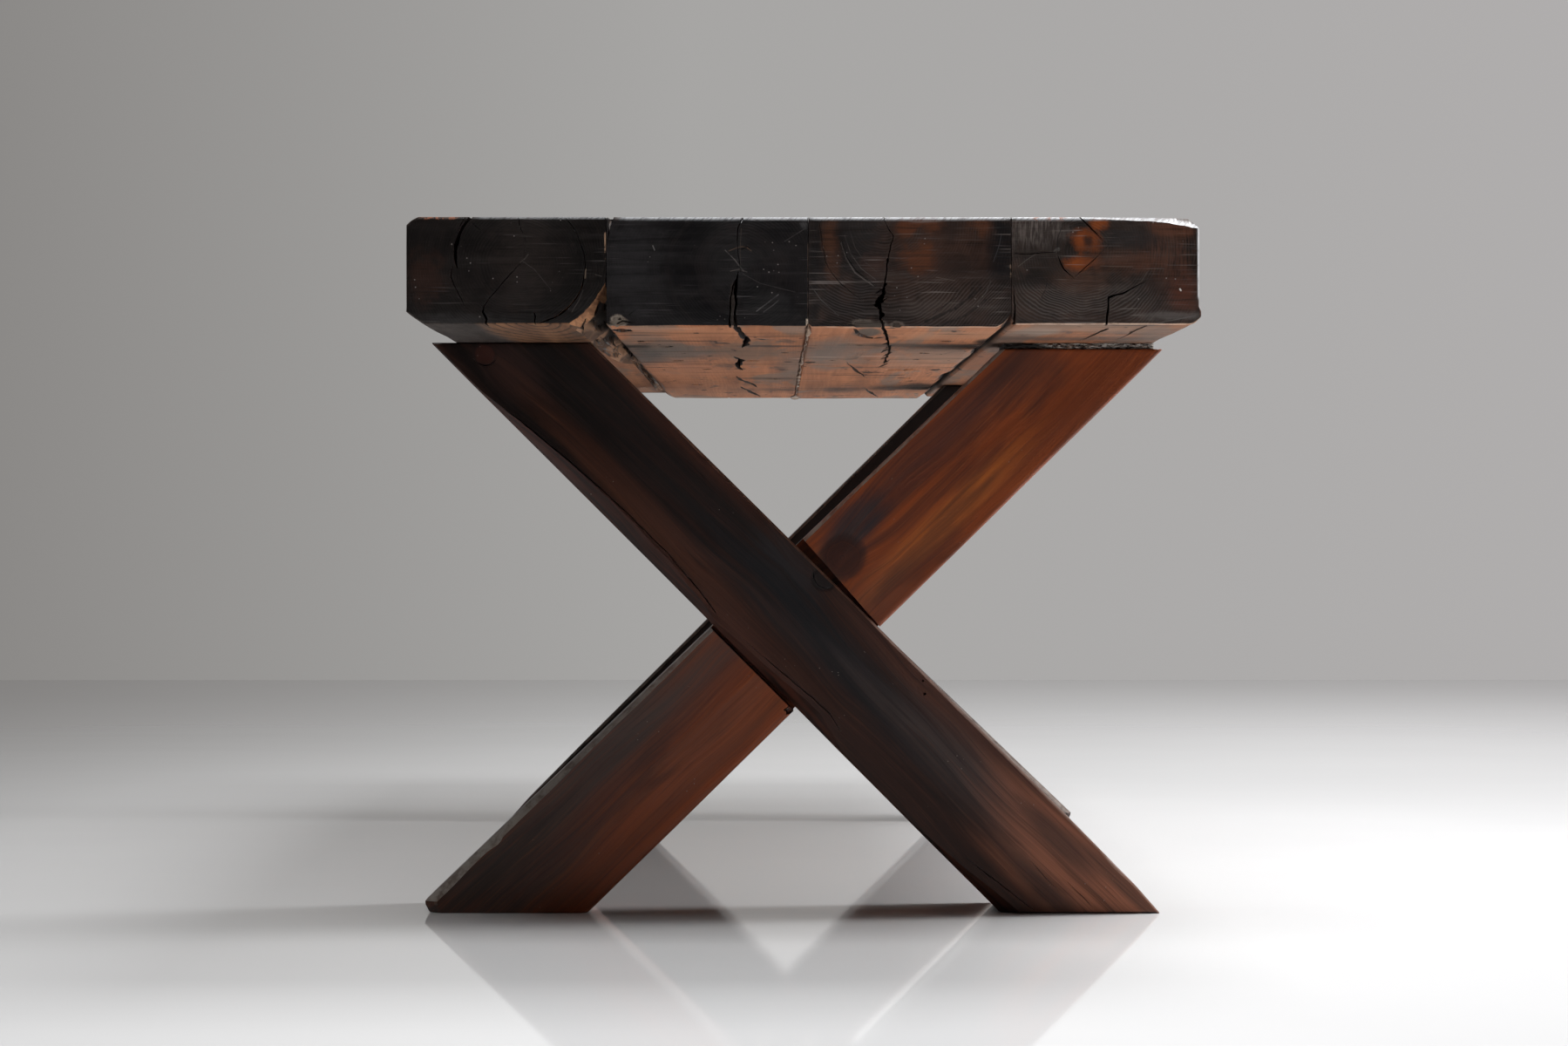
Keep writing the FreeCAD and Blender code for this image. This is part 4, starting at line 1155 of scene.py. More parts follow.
    nick = n.noise(n.xyz(n.math("MULTIPLY", y, 15.0), n.math("MULTIPLY", x, 34.0), off + 11.0), 1.0, 3.0, 0.6, 0.3)
    bare = n.mix(n.math("MULTIPLY", n.span(nick, 0.65, 0.70), 0.9), bare, (0.020, 0.015, 0.012))
    hair = n.noise(n.xyz(n.math("MULTIPLY", y, 34.0), n.math("MULTIPLY", x, 4.0), off + 17.0), 1.0, 2.0, 0.6)
    bare = n.mix(n.math("MULTIPLY", n.math("MULTIPLY", n.span(hair, 0.64, 0.69), n.span(cloud, 0.40, 0.54)), 0.85), bare, (0.045, 0.028, 0.021))
    bare = n.mix(n.math("MULTIPLY", n.span(hair, 0.30, 0.27), 0.7), bare, (0.66, 0.46, 0.35))
    if index > 1:
        # painted highlight: a pale line along the lower arris at the near end
        m = n.math("MULTIPLY", n.span(y, -0.990, -0.9965), n.span(grit, 0.34, 0.56, 0.3, 1.0))
        bare = n.mix(n.math("MULTIPLY", m, 0.45 if index == 2 else 0.75), bare, (0.60, 0.43, 0.32))
    # bare wherever it looks down; painted shade darkens the bottoms of pits and cracks
    deep = n.math("MULTIPLY", n.span(z, UNDER[index] + 0.0006, UNDER[index] + 0.0018), n.span(nz_, -0.86, -0.95))
    low = n.math("MULTIPLY", n.span(z, UNDER[index] + 0.016, UNDER[index] + 0.012), n.math("SUBTRACT", 1.0, deep))
    if wane:
        low = n.math("MAXIMUM", low, n.span(y, 0.68, 0.70))
    down = n.span(nz_, -0.30, -0.55)
    under = n.math("MULTIPLY", low, down)
    # painted shade: bare wood a few millimetres up into hollows is darkened
    bare = n.mix(n.math("MULTIPLY", n.span(z, UNDER[index] + 0.0022, UNDER[index] + 0.005), 0.75), bare, n.mix(n.span(dirt, 0.35, 0.6), (0.15, 0.075, 0.045), (0.036, 0.025, 0.021)))
    if index > 1:
        # painted shade: near-black in the hollow along the joint, just up from the underside at the near end
        m = n.math("MULTIPLY", n.span(z, UNDER[index] + 0.0016, UNDER[index] + 0.0045), n.span(n.math("ABSOLUTE", n.math("SUBTRACT", x, EDGE[3])), 0.016, 0.012))
        bare = n.mix(n.math("MULTIPLY", n.math("MULTIPLY", m, n.span(y, -0.985, -0.955)), 0.93), bare, (0.0085, 0.0068, 0.0062))
    if wane:
        # the left outer timber is darker grey below towards its left edge, tan with curved grain near its bark side
        ax = n.math("MULTIPLY", n.math("ADD", x, 0.262), 100.0)
        ay = n.math("MULTIPLY", n.math("ADD", y, 1.03), 19.0)
        arc = n.math("SQRT", n.math("ADD", n.math("MULTIPLY", ax, ax), n.math("MULTIPLY", ay, ay)))
        curve = n.math("FRACT", n.math("ADD", arc, n.math("MULTIPLY", warp, 3.0)))
        tan = n.mix(n.span(streak, 0.3, 0.7), (0.230, 0.112, 0.056), (0.108, 0.052, 0.028))
        tan = n.mix(n.math("MULTIPLY", n.math("MULTIPLY", n.span(curve, 0.40, 0.10), n.span(grit, 0.30, 0.52, 0.30, 1.0)), 0.80), tan, (0.022, 0.014, 0.010))
        tan = n.mix(n.math("MULTIPLY", n.span(tear, 0.48, 0.28), 0.6), tan, (0.040, 0.025, 0.018))
        tan = n.mix(n.math("MULTIPLY", n.span(patch, 0.52, 0.62), 0.6), tan, (0.060, 0.045, 0.036))
        bare = n.mix(n.span(y, -0.45, -0.70), n.mix(0.45, bare, tan), tan)
        side = n.math("ADD", x, n.math("MULTIPLY", n.math("SUBTRACT", patch, 0.5), 0.06))
        grey = n.mix(n.span(dirt, 0.35, 0.65), (0.052, 0.045, 0.041), (0.020, 0.017, 0.016))
        bare = n.mix(n.math("MULTIPLY", n.span(side, -0.304, -0.330), 0.95), bare, grey)
        # everything on the bark side that looks down or out to the right, below the joint
        in_wane = n.math("MULTIPLY", n.span(x, EDGE[1] - 0.046, EDGE[1] - 0.040), n.span(z, UNDER[index] + 0.052, UNDER[index] + 0.046))
        in_wane = n.math("MULTIPLY", in_wane, n.math("MULTIPLY", n.span(n.math("ABSOLUTE", ny_), 0.92, 0.75), n.span(nx_, 0.06, 0.22)))
        in_wane = n.math("MULTIPLY", in_wane, n.span(nx_, 0.995, 0.975))
        furrow = n.noise(n.xyz(n.math("MULTIPLY", y, 3.2), n.math("MULTIPLY", x, 150.0), n.math("MULTIPLY", z, 150.0)), 1.0, 4.0, 0.65, 0.8)
        facet = n.noise(n.xyz(n.math("MULTIPLY", y, 6.5), n.math("MULTIPLY", x, 32.0), n.math("MULTIPLY", z, 32.0)), 1.0, 2.0, 0.5, 0.4)
        front = n.mix(n.span(furrow, 0.36, 0.64), (0.42, 0.205, 0.100), (0.21, 0.098, 0.050))
        # painted shade: the wane darkens higher up, towards the joint
        front = n.mix(n.math("MULTIPLY", n.span(n.math("ADD", z, n.math("MULTIPLY", grit, 0.012)), UNDER[index] + 0.026, UNDER[index] + 0.040), 0.45), front, (0.110, 0.052, 0.030))
        bark = n.mix(n.span(facet, 0.43, 0.56), (0.34, 0.188, 0.110), (0.105, 0.060, 0.039))
        bark = n.mix(n.math("MULTIPLY", n.span(furrow, 0.48, 0.34), 0.75), bark, (0.034, 0.023, 0.018))
        # painted shade: near-black where the wane runs up into the crevice by the joint
        sunk = n.math("ADD", n.math("MULTIPLY", n.math("SUBTRACT", facet, 0.5), 0.030), n.span(y, -0.77, -0.83, 0.0, 0.008))
        crevice_shade = n.span(n.math("ADD", z, sunk), UNDER[index] + 0.009, UNDER[index] + 0.018)
        bark = n.mix(n.math("MULTIPLY", crevice_shade, 0.95), bark, (0.010, 0.008, 0.007))
        bark = n.mix(n.span(n.math("ADD", y, n.math("MULTIPLY", n.math("SUBTRACT", grit, 0.5), 0.03)), -0.946, -0.936), front, bark)
        bare = n.mix(in_wane, bare, bark)
        under = n.math("MAXIMUM", under, in_wane)
    colour = n.mix(under, colour, bare)
    n.put(n.bsdf.inputs["Base Color"], colour)
    rough = n.mix(at_end, n.span(fine, 0.3, 0.8, 0.30, 0.50), n.span(level, 0.3, 0.8, 0.34, 0.58))
    rough = n.mix(under, rough, (0.85, 0.85, 0.85))
    n.put(n.bsdf.inputs["Roughness"], rough)
    n.bsdf.inputs["Specular IOR Level"].default_value = 0.165
    h = n.math("ADD", n.math("MULTIPLY", fine, 0.6), n.math("MULTIPLY", ring, 0.25))
    h_end = n.math("ADD", n.math("ADD", n.math("MULTIPLY", level, 0.8), n.math("MULTIPLY", ring_line, 0.3)), n.math("MULTIPLY", grit, 0.8))
    h_under = n.math("ADD", n.math("MULTIPLY", tear, 2.2), n.math("MULTIPLY", fine, 0.8))
    h = n.mix(at_end, h, h_end)
    h = n.mix(under, h, h_under)
    n.put(n.bsdf.inputs["Normal"], n.bump(h, 0.6, 0.0006))
    return n.mat


def leg_timber(name, angle, off, tones, shade, knots, swirls=(), front=-1.0, upper_arris_wear_and_highlight=(0.20, 0.165, 0.145), lacquer=0.28, flank=1.0, inner=1.0, waney=None, grain=1.0):
    """A leg: red-brown stain over long grain, darker streaks and clouds, satin lacquer."""
    n = Net(name)
    p = n.coords()
    q = n.turned(p, angle)
    u, d, v = n.sep(q)     # along the leg, through it, across it
    nu, nd, nv = n.sep(n.turned(n.normal(), angle))
    warp = n.noise(n.xyz(n.math("MULTIPLY", u, 3.0), n.math("MULTIPLY", d, 9.0), n.math("MULTIPLY", v, 9.0)), 1.0, 2.0)
    vv = n.math("ADD", v, n.math("MULTIPLY", n.math("SUBTRACT", warp, 0.5), 0.045))
    grit = n.noise(q, 60.0, 4.0, 0.65)
    on_front = n.span(n.math("MULTIPLY", d, front), 0.590, 0.610)
    for at, size in [k[:2] for k in knots] + list(swirls):
        # the grain swings round a knot
        ex, ey, ez = n.sep(n.vec("SUBTRACT", q, at))
        k2 = n.math("ADD", n.math("POWER", n.math("DIVIDE", ex, size * 2.4), 2.0), n.math("POWER", n.math("DIVIDE", ez, size * 1.6), 2.0))
        pull = n.math("MULTIPLY", n.math("DIVIDE", ez, n.math("ADD", n.math("MULTIPLY", k2, 2.0), 0.8)), on_front)
        vv = n.math("ADD", vv, pull)
    w_ = n.xyz(n.math("ADD", n.math("MULTIPLY", u, 1.5), off), n.math("MULTIPLY", d, 30.0), n.math("MULTIPLY", vv, 46.0))
    streak = n.noise(w_, 1.0, 4.0, 0.6, 0.35)
    w2 = n.xyz(n.math("ADD", n.math("MULTIPLY", u, 3.0), off + 3.1), n.math("MULTIPLY", d, 90.0), n.math("MULTIPLY", vv, 165.0))
    line_ = n.noise(w2, 1.0, 3.0, 0.62)
    fine = n.noise(n.xyz(n.math("MULTIPLY", u, 16.0), n.math("MULTIPLY", d, 480.0), n.math("MULTIPLY", vv, 560.0)), 1.0, 3.0, 0.6)
    cloud = n.noise(n.xyz(n.math("ADD", n.math("MULTIPLY", u, 3.0), off), n.math("MULTIPLY", d, 8.0), n.math("MULTIPLY", vv, 15.0)), 1.0, 4.0, 0.6, 0.5)
    black, base, red, orange = tones
    colour = n.mix(n.span(streak, 0.34, 0.62), base, red)
    dull = 0.0
    for at, size, tone, amount in shade:
        m = n.spot(q, at, size, 0.6, warp=streak, amount=1.1)
        m = n.math("MULTIPLY", m, n.span(line_, 0.25, 0.60, 0.55, 1.0))
        m = n.math("MULTIPLY", n.math("MULTIPLY", m, on_front), amount)
        colour = n.mix(m, colour, tone)
        if max(tone) < 0.07:
            dull = n.math("MAXIMUM", m, dull)
        else:
            dull = n.math("MULTIPLY", dull, n.math("SUBTRACT", 1.0, m))
    # grain and clouds show less where the stain is heavy
    keep = n.math("SUBTRACT", 1.0, n.math("MULTIPLY", dull, 0.85))
    colour = n.mix(n.math("MULTIPLY", n.math("MULTIPLY", n.span(line_, 0.54, 0.76), 0.42 * grain), keep), colour, n.mix(0.5, colour, orange))
    colour = n.mix(n.math("MULTIPLY", n.span(line_, 0.47, 0.28), 0.62 * grain), colour, n.mix(0.6, colour, black))
    colour = n.mix(n.math("MULTIPLY", n.math("MULTIPLY", n.span(cloud, 0.52, 0.66), 0.75 * grain), keep), colour, black)
    colour = n.mix(n.math("MULTIPLY", n.math("MULTIPLY", n.span(fine, 0.52, 0.80), 0.20), keep), colour, orange)
    colour = n.mix(n.math("MULTIPLY", n.span(fine, 0.46, 0.25), 0.35), colour, black)
    close = n.noise(n.xyz(n.math("ADD", n.math("MULTIPLY", u, 4.5), off + 7.3), n.math("MULTIPLY", d, 160.0), n.math("MULTIPLY", vv, 330.0)), 1.0, 2.0, 0.6)
    colour = n.mix(n.math("MULTIPLY", n.span(close, 0.47, 0.30), 0.32), colour, n.mix(0.7, colour, black))
    colour = n.mix(n.math("MULTIPLY", n.math("MULTIPLY", n.span(close, 0.55, 0.72), 0.20), keep), colour, n.mix(0.4, colour, orange))
    # the side faces are darkened towards black
    if flank < 1.0:
        m = n.span(n.math("ABSOLUTE", nd), 0.60, 0.30, 0.0, 1.0 - flank)
        colour = n.mix(m, colour, black)
    if waney:
        # the waney lower edge: red brown, with a dark seam where it leaves the face
        m = n.math("MULTIPLY", n.span(nv, -0.12, -0.30), n.span(n.math("ABSOLUTE", nd), 0.30, 0.45))
        colour = n.mix(n.math("MULTIPLY", m, 0.8), colour, n.mix(n.span(line_, 0.36, 0.62), waney[0], waney[1]))
        m = n.math("MULTIPLY", n.span(nv, -0.06, -0.14), n.span(nv, -0.34, -0.22))
        colour = n.mix(n.math("MULTIPLY", n.math("MULTIPLY", m, on_front), 0.85), colour, (0.004, 0.0032, 0.0032))
    if inner < 1.0:
        # painted shade: the inner face is darkened towards black
        m = n.span(n.math("MULTIPLY", nd, front), -0.30, -0.60, 0.0, 1.0 - inner)
        colour = n.mix(m, colour, (0.0022, 0.0019, 0.0019))
    height = n.math("ADD", n.math("MULTIPLY", fine, 0.7), n.math("MULTIPLY", line_, 0.6))
    for at, size, tone, hard in knots:
        ex, ey, ez = n.sep(n.vec("SUBTRACT", q, at))
        kr = n.math("SQRT", n.math("ADD", n.math("MULTIPLY", n.math("MULTIPLY", ex, ex), 0.85), n.math("MULTIPLY", ez, ez)))
        kr = n.math("ADD", kr, n.math("MULTIPLY", n.math("SUBTRACT", grit, 0.5), size * 0.30))
        inside = n.math("MULTIPLY", n.span(kr, size * (1.30 - 0.22 * hard), size * (0.70 + 0.18 * hard)), on_front)
        rim = n.math("MULTIPLY", n.math("MULTIPLY", n.span(kr, size * 0.80, size * 1.0), n.span(kr, size * 1.30, size * 1.02)), on_front)
        round_ = n.noise(n.xyz(n.math("MULTIPLY", kr, 9.0 / size), off, 0.0), 1.0, 2.0, 0.5)
        heart = n.mix(n.span(round_, 0.40, 0.60), tone, n.mix(0.10, tone, red))
        colour = n.mix(n.math("MULTIPLY", inside, 0.92), colour, heart)
        colour = n.mix(n.math("MULTIPLY", rim, 0.25 + 0.5 * hard), colour, black)
        height = n.math("SUBTRACT", height, n.math("MULTIPLY", rim, 0.8 * hard))
    # upper arrises lightened: wear and painted highlight
    edge = n.math("MAXIMUM", n.math("ABSOLUTE", nd), n.math("ABSOLUTE", nv))
    edge = n.math("MULTIPLY", n.span(edge, 0.965, 0.90), n.span(n.math("ABSOLUTE", nu), 0.45, 0.25))
    edge = n.math("MULTIPLY", edge, n.span(nv, 0.10, 0.30))
    colour = n.mix(n.math("MULTIPLY", edge, n.span(grit, 0.30, 0.60, 0.35, 0.95)), colour, upper_arris_wear_and_highlight)
    scratch = n.span(n.voronoi(n.xyz(n.math("MULTIPLY", u, 30.0), n.math("MULTIPLY", d, 3.0), n.math("MULTIPLY", v, 90.0)), 1.0), 0.05, 0.02)
    scratch = n.math("MULTIPLY", scratch, n.span(n.noise(q, 7.0, 1.0), 0.56, 0.62))
    colour = n.mix(n.math("MULTIPLY", scratch, 0.45), colour, (0.24, 0.18, 0.15))
    specks = n.math("MULTIPLY", n.span(n.voronoi(q, 130.0), 0.10, 0.04), n.span(n.noise(q, 19.0, 1.0), 0.61, 0.65))
    colour = n.mix(n.math("MULTIPLY", specks, 0.6), colour, (0.34, 0.28, 0.24))
    n.put(n.bsdf.inputs["Base Color"], colour)
    n.put(n.bsdf.inputs["Roughness"], n.span(n.math("ADD", n.math("MULTIPLY", fine, 0.6), n.math("MULTIPLY", cloud, 0.4)), 0.3, 0.75, 0.28, 0.46))
    n.bsdf.inputs["Specular IOR Level"].default_value = lacquer
    n.put(n.bsdf.inputs["Normal"], n.bump(height, 0.5, 0.0005))
    return n.mat


def filler_look():
    n = Net("pale_filler")
    p = n.coords()
    a = n.noise(p, 240.0, 3.0, 0.6)
    b = n.noise(p, 40.0, 2.0)
    c = n.mix(n.span(a, 0.35, 0.7), (0.25, 0.165, 0.110), (0.46, 0.36, 0.27))
    x, y, z = n.sep(p)
    thin = n.span(z, 0.6362, 0.6368)
    c = n.mix(n.math("MULTIPLY", n.math("MAXIMUM", n.span(b, 0.46, 0.58), thin), 0.85), c, (0.17, 0.092, 0.056))
    n.put(n.bsdf.inputs["Base Color"], c)
    n.put(n.bsdf.inputs["Roughness"], n.span(a, 0.3, 0.7, 0.55, 0.8))
    n.put(n.bsdf.inputs["Normal"], n.bump(a, 0.6, 0.0006))
    return n.mat


def dowel_look():
    n = Net("turned_dowel")
    x, y, z = n.sep(n.coords())
    f = n.noise(n.xyz(n.math("MULTIPLY", x, 14.0), n.math("MULTIPLY", y, 420.0), n.math("MULTIPLY", z, 420.0)), 1.0, 3.0, 0.6)
    s = n.noise(n.xyz(n.math("MULTIPLY", x, 3.0), n.math("MULTIPLY", y, 90.0), n.math("MULTIPLY", z, 90.0)), 1.0, 3.0)
    c = n.mix(n.span(s, 0.35, 0.7), (0.62, 0.44, 0.27), (0.50, 0.33, 0.18))
    c = n.mix(n.math("MULTIPLY", n.span(f, 0.5, 0.8), 0.4), c, (0.36, 0.22, 0.12))
    n.put(n.bsdf.inputs["Base Color"], c)
    n.put(n.bsdf.inputs["Roughness"], n.span(f, 0.3, 0.7, 0.55, 0.72))
    n.put(n.bsdf.inputs["Normal"], n.bump(f, 0.4, 0.0004))
    return n.mat


def packing_look():
    n = Net("rough_packing_painted_shade")
    x, y, z = n.sep(n.coords())
    f = n.noise(n.xyz(n.math("MULTIPLY", x, 160.0), n.math("MULTIPLY", y, 160.0), n.math("MULTIPLY", z, 520.0)), 1.0, 4.0, 0.7)
    s = n.noise(n.xyz(n.math("MULTIPLY", x, 30.0), n.math("MULTIPLY", y, 30.0), n.math("MULTIPLY", z, 200.0)), 1.0, 3.0)
    # painted shade: the strip is near-black, with painted light in grey towards its outer end
    c = n.mix(n.span(s, 0.4, 0.7), (0.012, 0.010, 0.009), (0.045, 0.036, 0.031))
    grey = n.span(n.math("ADD", n.math("ABSOLUTE", x), n.math("MULTIPLY", s, 0.05)), 0.285, 0.325)
    c = n.mix(n.math("MULTIPLY", n.math("MULTIPLY", n.span(f, 0.38, 0.58), grey), 0.95), c, (0.44, 0.40, 0.36))
    n.put(n.bsdf.inputs["Base Color"], c)
    n.put(n.bsdf.inputs["Roughness"], n.span(f, 0.3, 0.7, 0.75, 0.95))
    n.put(n.bsdf.inputs["Normal"], n.bump(f, 0.8, 0.001))
    return n.mat


def steel_look():
    n = Net("dull_zinc")
    p = n.coords()
    a = n.noise(p, 160.0, 4.0, 0.6)
    b = n.noise(p, 900.0, 2.0, 0.5)
    c = n.mix(n.span(a, 0.35, 0.7), (0.42, 0.41, 0.38), (0.58, 0.57, 0.54))
    c = n.mix(n.math("MULTIPLY", n.span(a, 0.62, 0.78), 0.6), c, (0.25, 0.17, 0.11))
    n.put(n.bsdf.inputs["Base Color"], c)
    n.bsdf.inputs["Metallic"].default_value = 1.0
    n.put(n.bsdf.inputs["Roughness"], n.span(b, 0.3, 0.7, 0.36, 0.55))
    n.put(n.bsdf.inputs["Normal"], n.bump(b, 0.3, 0.0002))
    return n.mat


def spot_end(px_, py_, sx, sz, tone, amount, kind="level", deep=0.02):
    x_, z_ = on_end(px_, py_)
    return ((x_, -END, z_), (sx / NEAR_PX, deep, sz / NEAR_PX), tone, amount, kind)


def mark(px_, py_, sx, sy, tone, amount, hard=False, z_=0.638):
    """A mark on the underside, either a stain or painted shade: a point of the frame, and half sizes in m."""
    x_, y_ = on_under(px_, py_, z_)
    return ((x_, y_, z_), (sx, sy, 0.05), tone, amount, hard)


def line_end(points, half, tone, amount):
    q = E(points)
    return [(a, b, half * px, tone, amount) for a, b in zip(q[:-1], q[1:])]


BLACK1 = ((0.0040, 0.0030, 0.0027), (0.0090, 0.0064, 0.0058), (0.019, 0.0125, 0.0105))
BLACK2 = ((0.0036, 0.0030, 0.0034), (0.0080, 0.0064, 0.0068), (0.016, 0.0118, 0.0112))
BROWN = ((0.010, 0.0062, 0.0052), (0.028, 0.0162, 0.0126), (0.050, 0.026, 0.018))
GREY = ((0.0125, 0.0090, 0.0076), (0.033, 0.0215, 0.0170), (0.064, 0.035, 0.0255))
ORANGE = (0.23, 0.053, 0.0105)
# tone of the painted shade bands on the underside over the legs
PAINTED_LEG_SHADE = (0.022, 0.017, 0.015)

